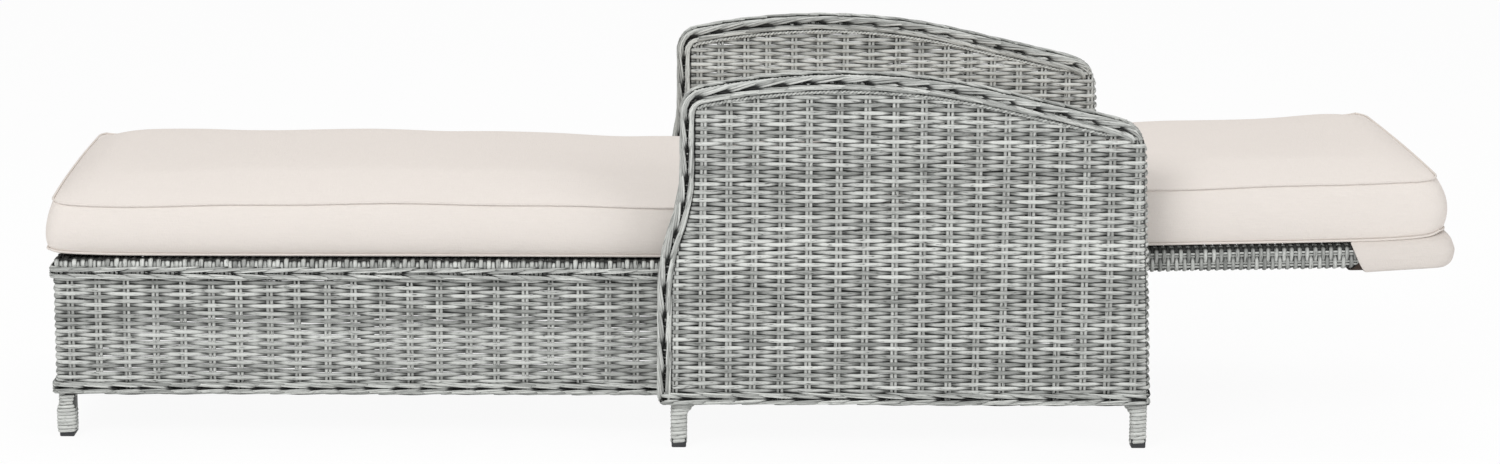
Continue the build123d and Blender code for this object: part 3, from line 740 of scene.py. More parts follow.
def lay(strands: Strands, route: Route, knots: Knots, parity: int, lift: Lift, level: float, aside: Point,
        flip: float = 1.0, wave: float = WEAVE.wave, flat: float = WEAVE.flat, wide: float = WEAVE.wide,
        shade: Shade | None = None, both: bool = False) -> None:
    """Lays one row that runs over and under its stakes.

    Args:
        strands: where the row goes.
        route: the row's flat route.
        knots: distances along the route and the half turns of the wave at each.
        parity: 0 or 1, which stakes the row goes over.
        lift: turns flat points or directions, and whether they are directions, into places.
        level: the row's place among the rows.
        aside: direction from row to row.
        flip: 1 where the route's left side is the outer one, else -1.
        wave: height of the wave.
        flat: half thickness of the strand.
        wide: half width of the strand.
        shade: turns flat points into painted shade, 0 for dark, 1 as the wave has it, 2 for painted light.
        both: whether the weave is seen from behind too.
    """
    at, turns = knots
    first, last = np.interp([0.0, route.length], at, turns)
    quarter = np.arange(math.ceil(first * 4), math.floor(last * 4) + 1) / 4
    s = np.interp(quarter, turns, at)
    s = s[(s > WEAVE.end_margin) & (s < route.length - WEAVE.end_margin)]
    s = np.unique(np.concatenate([[0.0, route.length], s, route.bend_marks]))
    s = s[np.concatenate([[True], np.diff(s) > WEAVE.closest])]
    place, normal = route.at(s)
    normal = normal * flip
    phase = np.cos(math.pi * (np.interp(s, at, turns) + parity))
    jitter = strands.lottery.normal(0, WEAVE.jitter, len(s))
    line = lift(place + normal * (phase * wave + jitter)[:, None], False)
    drift = 0.0009 * np.sin(5.1 * s + 17 * level) + 0.0005 * np.sin(13.7 * s - 29 * level + 1)
    marks = max(9, int(route.length / WEAVE.wander_pitch))
    wander = strands.lottery.normal(0, WEAVE.wander, marks)
    drift = drift + np.interp(s, np.linspace(0, route.length, marks), wander)
    line = line + drift[:, None] * np.array(aside)
    # Painted shade along the wave, then the shade function's painted shade and painted light.
    deep, clean = painted_wave_shade(phase, wave), None
    if shade is not None:
        extra = shade(place)
        clean = np.clip((extra - 1) * 1.4, 0, 1)
        deep = np.clip(deep * np.minimum(extra, 1) + np.maximum(extra - 1, 0), 0, 1)
    behind = painted_wave_shade(-phase, wave) if both else None
    breadth = wide * (1 + WEAVE.swell * phase)
    strands.add(line, lift(normal, True), flat, breadth, deep, clean=clean, behind=behind)


def upright(strands: Strands, start: Point | np.ndarray, end: Point | np.ndarray, outward: Point,
            aside: Point, flat: float = WEAVE.stake_flat, wide: float = WEAVE.stake_wide,
            apart: float = WEAVE.stake_apart, both: bool = False, light: float = 0.8) -> None:
    """Adds a pair of stakes side by side.

    Args:
        strands: where the stakes go.
        start: lower end of the pair's middle.
        end: upper end of the pair's middle.
        outward: outward direction of the face.
        aside: direction from one stake to the other.
        flat: half thickness of a stake.
        wide: half width of a stake.
        apart: half the distance between the two.
        both: whether the stakes are seen from behind too.
        light: painted shade of the stakes, from 0 for dark to 1 for light.
    """
    start, end, aside = np.array(start, float), np.array(end, float), np.array(aside, float)
    length = float(np.linalg.norm(end - start))
    share = np.linspace(0, 1, max(3, int(length / 0.03)))[:, None]
    for side in (-1, 1):
        sway = strands.lottery.normal(0, 0.0002, (len(share), 1))
        line = start + (end - start) * share + aside * (side * apart + sway)
        open_to = np.full(len(line), light)
        strands.add(line, steady(outward, len(line)), flat, wide, open_to, behind=open_to if both else None)


@dataclass(frozen=True)
class Rim:
    """Plaited rim: two rows of slanted bundles that part along its middle."""

    half: float = 0.0105
    over: float = 0.0105
    roll: float = 0.0
    level: float = 0.003
    period: float = 0.0437
    reach: float = 0.080
    bend: float = 1.7
    flat: float = 0.0021
    wide: float = 0.0016
    bundle: int = 3
    slot: float = 0.0016
    apart: float = 0.0023
    lag: float = 0.0046
    margin: float = 0.0012
    lap: float = 0.0009
    sway: float = 0.0016
    uneven: float = 0.05
    stagger: float = 0.0006
    stray: float = 0.0003

    def section(self, w: np.ndarray) -> tuple[np.ndarray, np.ndarray]:
        """The rim's own curve, which may roll over the edge.

        Args:
            w: distance from the rim's middle, positive to the outer edge.

        Returns:
            The distance across for each w and the angle that the face has turned there.
        """
        if self.roll == 0:
            return w, np.zeros(len(w))
        angle = np.clip((w - self.level) / self.roll, 0, 1.9)
        return np.where(angle > 0, self.level + self.roll * np.sin(angle), w), angle

    def plait(self, strands: Strands, line: np.ndarray, outward: np.ndarray, across: np.ndarray,
              forward: int = 1) -> None:
        """Plaits along a line.

        Args:
            strands: where the plait goes.
            line: points of the rim's middle line.
            outward: outward direction of the face at each point.
            across: direction to the rim's outer edge at each point.
            forward: 1 if the strands part along the line, -1 if they close.
        """
        s, table = measured(line), np.hstack([line, outward, across])
        share = np.linspace(0, 1, 11)
        for edge, limit in ((-1, self.half), (1, self.over)):
            rolled = edge > 0 and self.roll > 0
            rise = np.interp(share, [0, 0.08, 0.22, 0.55, 0.85, 1.0],
                             [-0.0044, -0.0014, 0.0020, 0.0013, -0.0004, -0.0008 if rolled else -0.0026])
            # Painted shade: dark in the slot where the bundles part and where they tuck under at their far
            # end, a little darker on a rolled rim.
            deep = np.interp(share, [0, 0.10, 0.22, 0.85, 1.0],
                             [0.0, 0.08, 1.0, 1.0, 0.9 if rolled else 0.35])
            deep *= 0.88 if rolled else 1.0
            for number in range(-3, int(s[-1] / self.period) + 3):
                sway = strands.lottery.normal(0, self.sway)
                for k in range(self.bundle):
                    reach = self.reach * (1 + strands.lottery.normal(0, self.uneven))
                    begin = number * self.period - k * self.lag + sway
                    begin += strands.lottery.normal(0, self.stagger)
                    run = begin + share * reach if forward > 0 else begin + self.period - share * reach
                    keep = (run > 0) & (run < s[-1])
                    if keep.sum() < 4:
                        continue
                    w0, w1 = self.slot + self.apart * k, limit - self.margin - self.lap * (self.bundle - 1 - k)
                    w = edge * (w0 + (w1 - w0) * share**self.bend + strands.lottery.normal(0, self.stray))
                    at, out, side = np.hsplit(sampled(run[keep], s, table), 3)
                    q, angle = self.section(w[keep])
                    c, n = np.cos(angle)[:, None], np.sin(angle)[:, None]
                    face = out * c + side * n
                    points = at + side * q[:, None] - out * (self.roll * (1 - c)) + face * rise[keep][:, None]
                    # Painted light: the sides stay light where the rim rolls over the edge.
                    strands.add(points, face, self.flat, self.wide, deep[keep],
                                clean=np.clip(angle - 0.4, 0, 1))


FLAT_RIM = Rim()
ROLLED_RIM = Rim(half=0.0102, over=0.0185, roll=0.0072, reach=0.098, bend=1.5, wide=0.0019)


def twine(strands: Strands, line: np.ndarray, outward: np.ndarray, across: np.ndarray,
          period: float = 0.0125) -> None:
    """Twists two thin strands along a line.

    Args:
        strands: where they go.
        line: points of the line.
        outward: outward direction at each point.
        across: direction across the line at each point.
        period: length of one turn.
    """
    s = measured(line)
    t = np.arange(0, s[-1], period / 8)
    at, out, side = np.hsplit(sampled(t, s, np.hstack([line, outward, across])), 3)
    for half in (0.0, math.pi):
        angle = t / period * 2 * math.pi + half
        c, n = np.cos(angle)[:, None], np.sin(angle)[:, None]
        wobble = strands.lottery.normal(0, 0.0003, (len(t), 1))
        twisted = at + out * (c * 0.0009 + wobble) + side * n * 0.0012
        # Painted shade: each twist darker where it turns inward.
        strands.add(twisted, out, 0.0016, 0.0018, np.clip(0.7 + 0.4 * c[:, 0], 0, 1))


# Base


@dataclass
class Base:
    """Long woven box with its deck and rims."""

    finishes: Finishes
    half: float = 0.2889
    foot: float = -1.0880
    skin_end: float = -0.118
    low: float = 0.0725
    high: float = 0.262
    corner: float = 0.009
    rear_half: float = 0.29
    deck: float = 0.2812
    deck_end: float = 0.281
    deck_half: float = 0.2893
    deck_drop: float = 0.258
    deck_edge: float = 0.0085
    rim_half: float = 0.2938
    rim_out: float = 0.0045
    top_rim: float = 0.2632
    bottom_rim: float = 0.0800
    rim_shadow: float = 0.0085

    def build(self) -> None:
        """Builds every woven piece of the base."""
        self.side_rows()
        self.rear_rows()
        self.deck_rows()
        self.rims()

    def round_foot(self, foot: float, half: float) -> Route:
        """Route along both sides and round the foot end."""
        corners = [(self.skin_end, -half), (foot, -half), (foot, half), (self.skin_end, half)]
        return Route(corners, self.corner)

    def panel(self, rows: Strands, route: Route, knots: Knots, high: float) -> None:
        """Lays rows one above the other.

        Args:
            rows: where they go.
            route: the flat route of each.
            knots: distances along the route and the half turns at each.
            high: where the panel ends.
        """
        for number in range(int((high - self.low) / WEAVE.pitch) + 1):
            z = self.low + number * WEAVE.pitch
            lay(rows, route, knots, number % 2, at_level(z), z, UP, shade=self.painted_rim_shadow(z))

    def side_rows(self) -> None:
        """Rows and stakes round both sides and the foot end."""
        rows, stakes = Strands(11), Strands(12)
        route = self.round_foot(self.foot, self.half)
        ends = [0.0, *route.bends, route.length]
        runs = [spread(a, b, WEAVE.stake_pitch, stakes.lottery) for a, b in zip(ends, ends[1:])]
        spots = np.concatenate(runs)
        turns = [0.5, *range(1, len(spots) + 1), len(spots) + 0.5]
        self.panel(rows, route, (np.array([0.0, *spots, route.length]), np.array(turns)), self.high)
        for (x, y), (nx, ny) in zip(*route.at(spots)):
            upright(stakes, (x, y, self.low), (x, y, self.high), (nx, ny, 0.0), (-ny, nx, 0.0))
        nodes = ["base_side_skin_left", "base_side_skin_right", "base_foot_skin"]
        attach(finish(rows.build("base_side_rows"), self.finishes.base_rows_painted_shade, nodes), "base")
        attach(finish(stakes.build("base_side_stakes"), self.finishes.stakes, []), "base")

    def rear_rows(self) -> None:
        """Rows and stakes of the panel behind the hinge."""
        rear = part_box("base_rear_skin")[1]
        x, half, nodes = rear.x - 0.0026, self.rear_half, ["base_rear_skin"]
        rows, stakes = Strands(13), Strands(14)
        count = round(half * 2 / WEAVE.stake_pitch)
        route = Route([(x, half), (x, 0.0), (x, -half)], 0.01)
        knots = (np.array([0.0, route.length]), np.array([0.5, count + 0.5]))
        self.panel(rows, route, knots, rear.z - 0.003)
        for turn in range(1, count + 1):
            y = half - (turn - 0.5) / count * half * 2
            upright(stakes, (x, y, self.low), (x, y, rear.z - 0.002), ALONG, ACROSS)
        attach(finish(rows.build("base_rear_rows"), self.finishes.base_rows_painted_shade, nodes), "base")
        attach(finish(stakes.build("base_rear_stakes"), self.finishes.stakes, []), "base")

    def painted_rim_shadow(self, z: float) -> Shade | None:
        """Paints the rows behind both rims dark as shade, so that the slots in the rims are dark."""
        near = min(abs(z - self.top_rim), abs(z - self.bottom_rim)) < self.rim_shadow
        return (lambda place: np.zeros(len(place))) if near else None

    def painted_deck_shade(self, place: np.ndarray, limit: float) -> np.ndarray:
        """Painted shade of a deck row: dark under the cushion, light from the limit down its edge."""
        down = np.abs(place[:, 0]) - np.abs(place[:, 0]).max() + place[:, 1].max() - place[:, 1]
        return np.clip((down - limit) / 0.0040, 0.0, 1.0)

    def deck_rows(self) -> None:
        """Rows across the deck, turned down over the side rails, and its warps."""
        rows, warps = Strands(15), Strands(16)
        half, edge, drop = self.deck_half, self.deck_edge, self.deck_drop
        route = Route([(-half, drop), (-half, self.deck), (half, self.deck), (half, drop)], 0.006)
        count = round(half * 2 / WEAVE.stake_pitch)
        x, number = self.foot + 0.004, 0
        while x < self.deck_end:
            shift = rows.lottery.uniform(-0.0025, 0.0025, 2)
            ends = rows.lottery.uniform(0.0, 0.22, 2) + 0.85 * (number % 2)
            first, last = route.bends[0] + edge + shift[0], route.bends[1] - edge - shift[1]
            knots = (np.array([0.0, first, last, route.length]),
                     np.array([-ends[0], 0.0, count + 1.0, count + 1.0 + ends[1]]))
            # Where each row's painted shade under the cushion ends.
            limit = rows.lottery.uniform(-0.0092, -0.0010)
            lay(rows, route, knots, number % 2, at_place(x), x, ALONG, 1.0, 0.0013, 0.0018, 0.0033,
                lambda place, limit=limit: self.painted_deck_shade(place, limit))
            x, number = x + WEAVE.pitch * (1.02 + 0.16 * rows.lottery.random()), number + 1
        for turn in range(count + 2):
            y = -half + edge + turn / (count + 1) * (half - edge) * 2
            start, end = (self.foot, y, self.deck), (self.deck_end, y, self.deck)
            # Painted shade: the deck's warps are dark under the cushion.
            upright(warps, start, end, UP, ACROSS, 0.0014, light=0.2)
        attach(finish(rows.build("seat_deck_rows"), self.finishes.rims, ["seat_deck"]),
                "base")
        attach(finish(warps.build("seat_deck_warps"), self.finishes.stakes, []), "base")

    def rims(self) -> None:
        """Plaited rims along the top and bottom of the box, the lower one along the rear panel too."""
        route = self.round_foot(self.foot - self.rim_out, self.rim_half)
        x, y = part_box("base_rear_skin")[1].x + 0.0018, np.linspace(self.rear_half, -self.rear_half, 60)
        for name, z, forward, node in (("base_top_rim", self.top_rim, -1, "base_top_plait"),
                                       ("base_bottom_rim", self.bottom_rim, 1, "base_bottom_plait")):
            strands, level = Strands(17), at_level(z)
            line, outward = level(route.path, False)[::3], level(route.normal, True)[::3]
            FLAT_RIM.plait(strands, line, outward, steady(UP, len(line)), forward)
            if forward > 0:
                line = level(np.column_stack([np.full(len(y), x), y]), False)
                FLAT_RIM.plait(strands, line, steady(ALONG, len(y)), steady(UP, len(y)), forward)
            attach(finish(strands.build(name), self.finishes.rims, [node]), "base")


# Arms


def arc(first: np.ndarray, middle: np.ndarray, last: np.ndarray, count: int = 24) -> np.ndarray:
    """Points of the arc through three points.

    Args:
        first: one end.
        middle: a point between.
        last: the other end.
        count: how many points.

    Returns:
        The points, ends included.
    """
    (ax, ay), (bx, by), (cx, cy) = first, middle, last
    d = 2 * (ax * (by - cy) + bx * (cy - ay) + cx * (ay - by))
    ux = ((ax**2 + ay**2) * (by - cy) + (bx**2 + by**2) * (cy - ay) + (cx**2 + cy**2) * (ay - by)) / d
    uy = ((ax**2 + ay**2) * (cx - bx) + (bx**2 + by**2) * (ax - cx) + (cx**2 + cy**2) * (bx - ax)) / d
    start, mid, end = [math.atan2(p[1] - uy, p[0] - ux) for p in (first, middle, last)]
    clockwise = (mid - start) % (2 * math.pi) > (end - start) % (2 * math.pi)
    sweep = (end - start) % (2 * math.pi) - (2 * math.pi if clockwise else 0)
    turn = start + np.linspace(0, 1, count) * sweep
    radius = math.hypot(ax - ux, ay - uy)
    return np.stack([ux + radius * np.cos(turn), uy + radius * np.sin(turn)], 1)


def tangent_arc(first: np.ndarray, heading: np.ndarray, last: np.ndarray, count: int = 14) -> np.ndarray:
    """Points of the arc that leaves a point along a heading and ends at another.

    Args:
        first: where it starts.
        heading: its direction there.
        last: where it ends.
        count: how many points.

    Returns:
        The points, ends included.
    """
    chord = last - first
    turn = 2 * (math.atan2(chord[1], chord[0]) - math.atan2(heading[1], heading[0]))
    turn = (turn + math.pi) % (2 * math.pi) - math.pi
    half = turn / 4
    c, s = math.cos(half), math.sin(half)
    middle_direction = np.array([[c, -s], [s, c]]) @ (heading / np.linalg.norm(heading))
    length = np.linalg.norm(chord) / (2 * math.cos(half))
    return arc(first, first + middle_direction * length, last, count)


@dataclass
class ArmShape:
    """Outline of an arm seen from its side."""

    front: float = -0.150
    length: float = 0.752
    height: float = 0.585
    low: float = 0.069
    rear_share: float = 1.0185
    count: int = 700

    def spot(self, along: float, up: float) -> np.ndarray:
        """A point from its shares of the length and height."""
        return np.array([self.front + along * self.length, up * self.height])

    @property
    def rear(self) -> float:
        """Where the rear foot stands along X."""
        return self.front + self.rear_share * self.length

    def outline(self) -> np.ndarray:
        """Points from the front foot over the crown to the rear foot.

        Returns:
            The points, evenly spaced.
        """
        up = np.array([0.0, 1.0])
        step_low, step_high = self.spot(0.0, 0.419), self.spot(0.0445, 0.752)
        middle = (step_low + step_high) / 2
        lower, upper = tangent_arc(step_low, up, middle), tangent_arc(step_high, -up, middle)[::-1]
        shoulder, brow = self.spot(0.0445, 0.901), self.spot(0.0824, 0.9607)
        crest, slope = self.spot(0.372, 1.0), self.spot(0.694, 0.954)
        corner, crown = tangent_arc(shoulder, up, brow), arc(brow, crest, slope, 40)
        rear_shoulder, rear_corner = self.spot(0.963, 0.875), self.spot(0.997, 0.82)
        bend = tangent_arc(rear_shoulder, rear_shoulder - slope, rear_corner)
        path = np.concatenate([[(self.front, self.low)], lower, upper[1:], corner, crown[1:], bend,
                               [(self.rear, self.low)]])
        lengths = measured(path)
        return sampled(np.linspace(0, lengths[-1], self.count), lengths, path)


@dataclass
class Arm:
    """One woven arm."""

    finishes: Finishes
    side: Side
    shape: ArmShape = field(default_factory=ArmShape)
    outer: float = 0.3532
    inner: float = 0.3068
    first_stake: float = 0.0373
    stake_pitch: float = 0.044
    lean_level: float = 0.3
    row_pitch: float = 0.00625
    row_gap: float = 0.006
    rim_end: float = 0.482
    rim_width: float = 0.0205
    rim_inset: float = 0.0098
    rim_stand: float = 0.0040
    rim_level: float = 0.0112
    rim_shadow: float = 0.0085
    seam_start: float = 0.545
    seam_inset: float = 0.0232
    inset: float = 0.0042
    edge_inset: float = 0.0046

    def __post_init__(self) -> None:
        """Works out the outline once."""
        self.path = self.shape.outline()
        tangent = unit(np.gradient(self.path, axis=0))
        self.out = np.stack([-tangent[:, 1], tangent[:, 0]], 1)
        self.crest = int(np.argmax(self.path[:, 1]))
        lottery = np.random.default_rng(20 + self.side.value)
        self.sway = np.clip(lottery.normal(0, 0.0011, 18), -0.002, 0.002)
        self.lean = lottery.normal(0, 0.005, 18)

    def build(self) -> None:
        """Builds every woven piece of the arm."""
        self.rows()
        self.stakes()
        self.edge_strands()
        self.rims()

    def span(self, z: float) -> tuple[float, float]:
        """Front and rear end of the arm along X at a height."""
        front, rear = self.path[: self.crest], self.path[self.crest :][::-1]
        return float(np.interp(z, front[:, 1], front[:, 0])), float(np.interp(z, rear[:, 1], rear[:, 0]))

    def places(self, z: float) -> np.ndarray:
        """Where the stakes stand along X, closer together near both ends.

        Args:
            z: the height.

        Returns:
            The places of all stakes.
        """
        number = np.arange(-4, 14)
        even = np.where(number < 0, 0.0404 * number, 0.0444 * number - 0.00016 * number**2)
        return self.first_stake + even + self.sway + self.lean * (z - self.lean_level)

    def knots(self, z: float, x0: float, x1: float) -> Knots:
        """Places and half turns of the weave between two places along X.

        Args:
            z: the height.
            x0: the front end.
            x1: the rear end.

        Returns:
            The places, both ends included, and the half turns at each.
        """
        places = self.places(z)
        inside = np.nonzero((places > x0 + 0.003) & (places < x1 - 0.003))[0]
        at, turns = places[inside], inside.astype(float)
        first, last = turns[0] - (at[0] - x0) / self.stake_pitch, turns[-1] + (x1 - at[-1]) / self.stake_pitch
        return np.array([x0, *at, x1]), np.array([first, *turns, last])

    def knob(self, z: float, x0: float, rear: float, number: int) -> float:
        """How far a row stands out where it turns round the rear edge.

        Args:
            z: the row's height.
            x0: the row's front end.
            rear: the rear edge.
            number: the row's number.

        Returns:
            The distance, 0 for a row that goes under there or doesn't turn.
        """
        if z >= self.rim_end or rear - x0 < 0.026:
            return 0.0
        turns = self.knots(z, x0, rear - 0.004)[1]
        over = (int(turns[-2]) + 1 + number) % 2 == 0
        return 0.0019 + 0.0006 * math.sin(3.7 * number) if over else 0.0

    def lift(self, z: float, rear: float, knob: float) -> Lift:
        """Makes the function that puts a row's flat points, along and across, in place.

        Args:
            z: the row's height.
            rear: the rear edge.
            knob: how far the row stands out round that edge.

        Returns:
            A function of flat points, and whether they are directions.
        """
        def place(flat: np.ndarray, direction: bool) -> np.ndarray:
            """Points at the row's height and side, further out round the rear edge."""
            out = 0.0 if direction else knob * np.clip((flat[:, 0] - rear + 0.012) / 0.007, 0, 1)
            return at_level(z)(np.column_stack([flat[:, 0] + out, flat[:, 1] * self.side.value]), direction)

        return place

    def over_edge(self, x: float, z: float, nx: float, nz: float) -> Lift:
        """Makes the function that puts flat points, outward and across, at a point of the arm's edge.

        Args:
            x: the point along the lounger.
            z: its height.
            nx: outward direction there, along.
            nz: outward direction there, up.

        Returns:
            A function of flat points, and whether they are directions.
        """
        at = np.array([x, (self.outer + self.inner) / 2 * self.side.value, z])

        def place(flat: np.ndarray, direction: bool) -> np.ndarray:
            """Points across the arm's edge."""
            out = np.column_stack([flat[:, 0] * nx, flat[:, 1] * self.side.value, flat[:, 0] * nz])
            return out if direction else out + at

        return place

    def rim_at(self, z: float) -> float:
        """Where the front rim's inner edge is at a height."""
        inner = (self.path - self.out * self.rim_width)[: self.crest]
        return float(np.interp(z, inner[:, 1], inner[:, 0]))

    def mark(self, route: Route, z: float, both: bool = True) -> None:
        """Adds points to a row's route where the shadow beside the front rim begins and ends.

        Args:
            route: the row's route.
            z: the row's height.
            both: whether the route comes back along the inner face.
        """
        marks = np.array([-0.0005, 0.0025]) + self.rim_at(z) - (self.span(z)[0] + self.row_gap)
        marks = np.concatenate([marks, route.length - marks]) if both else marks
        marks = marks[(marks > WEAVE.end_margin) & (marks < route.length - WEAVE.end_margin)]
        route.bend_marks = np.concatenate([route.bend_marks, marks])

    def painted_row_shade(self, z: float, rear: float) -> Shade:
        """Makes the function of a row's painted shade.

        Args:
            z: the row's height.
            rear: the rear edge that the row turns round.

        Returns:
            A function of flat points: painted shade beside the front rim and behind the bottom one, painted
                light round the rear edge.
        """
        rim, under = self.rim_at(z), float(abs(z - self.shape.low - self.rim_level) > self.rim_shadow)

        def light(place: np.ndarray) -> np.ndarray:
            """Painted shade of each point, 0 for dark, 1 as the wave has it, more for painted light."""
            gap = np.clip((place[:, 0] - rim) / 0.0024, 0, 1)
            return under * gap * (1 + 0.5 * np.clip((place[:, 0] - rear + 0.018) / 0.010, 0, 1))

        return light

    def rows(self) -> None:
        """Rows of both faces; the lower ones go round the rear edge."""
        strands = Strands(21 if self.side is Side.LEFT else 22)
        number, z = 0, self.shape.low + 0.004
        while z < self.shape.height - 0.008:
            front, rear = self.span(z)
            x0, x1 = front + self.row_gap, rear - self.row_gap
            lift = self.lift(z, rear, self.knob(z, x0, rear, number))
            if x1 - x0 > 0.02 and z < self.rim_end:
                turn = rear - self.inset
                route = Route([(x0, self.outer), (turn, self.outer), (turn, self.inner), (x0, self.inner)],
                              0.012)
                at, turns = self.knots(z, x0, rear - 0.004)
                at, turns = at[:-1] - x0, turns[:-1]
                at = np.concatenate([at, [(route.bends[0] + route.bends[1]) / 2], (route.length - at)[::-1]])
                turns = np.concatenate([turns, [turns[-1] + 1], (2 * turns[-1] + 2 - turns)[::-1]])
                self.mark(route, z)
                lay(strands, route, (at, turns), number % 2, lift, z, UP, shade=self.painted_row_shade(z, rear))
            elif x1 - x0 > 0.02:
                at, turns = self.knots(z, x0, x1)
                for y, flip in ((self.outer, 1.0), (self.inner, -1.0)):
                    route = Route([(x0, y), ((x0 + x1) / 2, y), (x1, y)], 0.001)
                    self.mark(route, z, False)
                    lay(strands, route, (at - x0, turns), number % 2, lift, z, UP, flip,
                        shade=self.painted_row_shade(z, rear + 0.1))
            number, z = number + 1, z + self.row_pitch
        name, nodes = f"arm_rows_{self.side.label}", [f"arm_shell_{self.side.label}"]
        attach(finish(strands.build(name), self.finishes.rows, nodes), "base")

    def stakes(self) -> None:
        """Pairs of uprights on both faces and on the rear edge."""
        strands, sign, low = Strands(23), self.side.value, self.shape.low + 0.002
        for x, lean in zip(self.places(self.lean_level), self.lean):
            beside = self.path[:, 0] - x
            heights = self.path[:-1, 1][beside[:-1] * beside[1:] <= 0]
            if len(heights):
                top = float(heights.max()) - 0.014
                bottom = low if x > self.shape.front + 0.012 else float(heights.min()) + 0.01
                x_bottom, x_top = [x + lean * (z - self.lean_level) for z in (bottom, top)]
                for y, out in ((self.outer * sign, sign), (self.inner * sign, -sign)):
                    upright(strands, (x_bottom, y, bottom), (x_top, y, top), (0.0, out, 0.0), ALONG)
        x_top, top = self.shape.spot(0.994, 0.828)
        y = (self.outer + self.inner) / 2 * sign
        upright(strands, (self.shape.rear - self.inset, y, low), (x_top - self.inset, y, top), ALONG, ACROSS)
        name = f"arm_stakes_{self.side.label}"
        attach(finish(strands.build(name), self.finishes.stakes, []), "base")

    def edge_strands(self) -> None:
        """Strands across the front, the crown and the underside, tucked under the rims."""
        strands, lengths = Strands(24), measured(self.path)
        end = self.shape.spot(0.985, 0.855)
        stop = lengths[int(np.argmin(np.linalg.norm(self.path - end, axis=1)))]
        half = (self.outer - self.inner) / 2 - 0.002
        route = Route([(-0.010, half), (0.0, half), (0.0, -half), (-0.010, -half)], 0.006)
        knots = (np.array([0.0, *route.bends, route.length]), np.array([-0.5, 0.5, 1.5, 2.5]))
        thin = (1.0, 0.0009, 0.002, 0.0033)
        spots = np.arange(0.004, stop, WEAVE.pitch)
        table = sampled(spots, lengths, np.hstack([self.path, self.out]))
        for number, (t, (x, z, nx, nz)) in enumerate(zip(spots, table)):
            lift = self.over_edge(x - nx * self.edge_inset, z - nz * self.edge_inset, nx, nz)
            lay(strands, route, knots, number % 2, lift, t, (-nz, 0.0, nx), *thin)
        first, last = self.shape.front + 0.006, self.shape.front + 1.015 * self.shape.length
        for number, x in enumerate(np.arange(first, last, WEAVE.pitch)):
            lift = self.over_edge(x, self.shape.low + 0.0026, 0.0, -1.0)
            lay(strands, route, knots, number % 2, lift, x, ALONG, *thin)
        name = f"arm_edge_strands_{self.side.label}"
        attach(finish(strands.build(name), self.finishes.rows, []), "base")

    def rims(self) -> None:
        """Plaited rims on both faces, left out along the rear edge, with a twined row under the crown."""
        strands, sign = Strands(25), self.side.value
        stop = self.crest + int(np.argmax(self.path[self.crest :, 1] < self.rim_end))
        start = int(np.argmax(self.path[:, 1] > self.seam_start))
        on_edge, on_seam = slice(2, stop, 4), slice(start, stop - 30, 4)
        edge, edge_out = (self.path - self.out * self.rim_inset)[on_edge], self.out[on_edge]
        seam, seam_out = (self.path - self.out * self.seam_inset)[on_seam], self.out[on_seam]
        tuck = np.clip((np.arange(len(edge)) - len(edge) + 9) / 9, 0, 1)
        edge = edge - edge_out * (0.009 * tuck**1.5)[:, None]
        along = np.linspace(self.shape.front + 0.002, self.shape.rear - 0.002, 120)
        sill = np.column_stack([along, np.full(len(along), self.shape.low + self.rim_level)])
        for y, out in ((self.outer + self.rim_stand, 1.0), (self.inner - self.rim_stand, -1.0)):
            outward = (0.0, out * sign, 0.0)
            ROLLED_RIM.plait(strands, at_side(edge, (y - out * 0.0045 * tuck) * sign),
                             steady(outward, len(edge)), at_side(edge_out, 0.0), 1)
            twine(strands, at_side(seam, (y - out * 0.0012) * sign), steady(outward, len(seam)),
                  at_side(seam_out, 0.0))
            FLAT_RIM.plait(strands, at_side(sill, y * sign), steady(outward, len(sill)),
                           steady(UP, len(sill)), -1)
        name, nodes = f"arm_rims_{self.side.label}", [f"arm_plaits_{self.side.label}"]
        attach(finish(strands.build(name), self.finishes.rims, nodes), "base")


# Legs


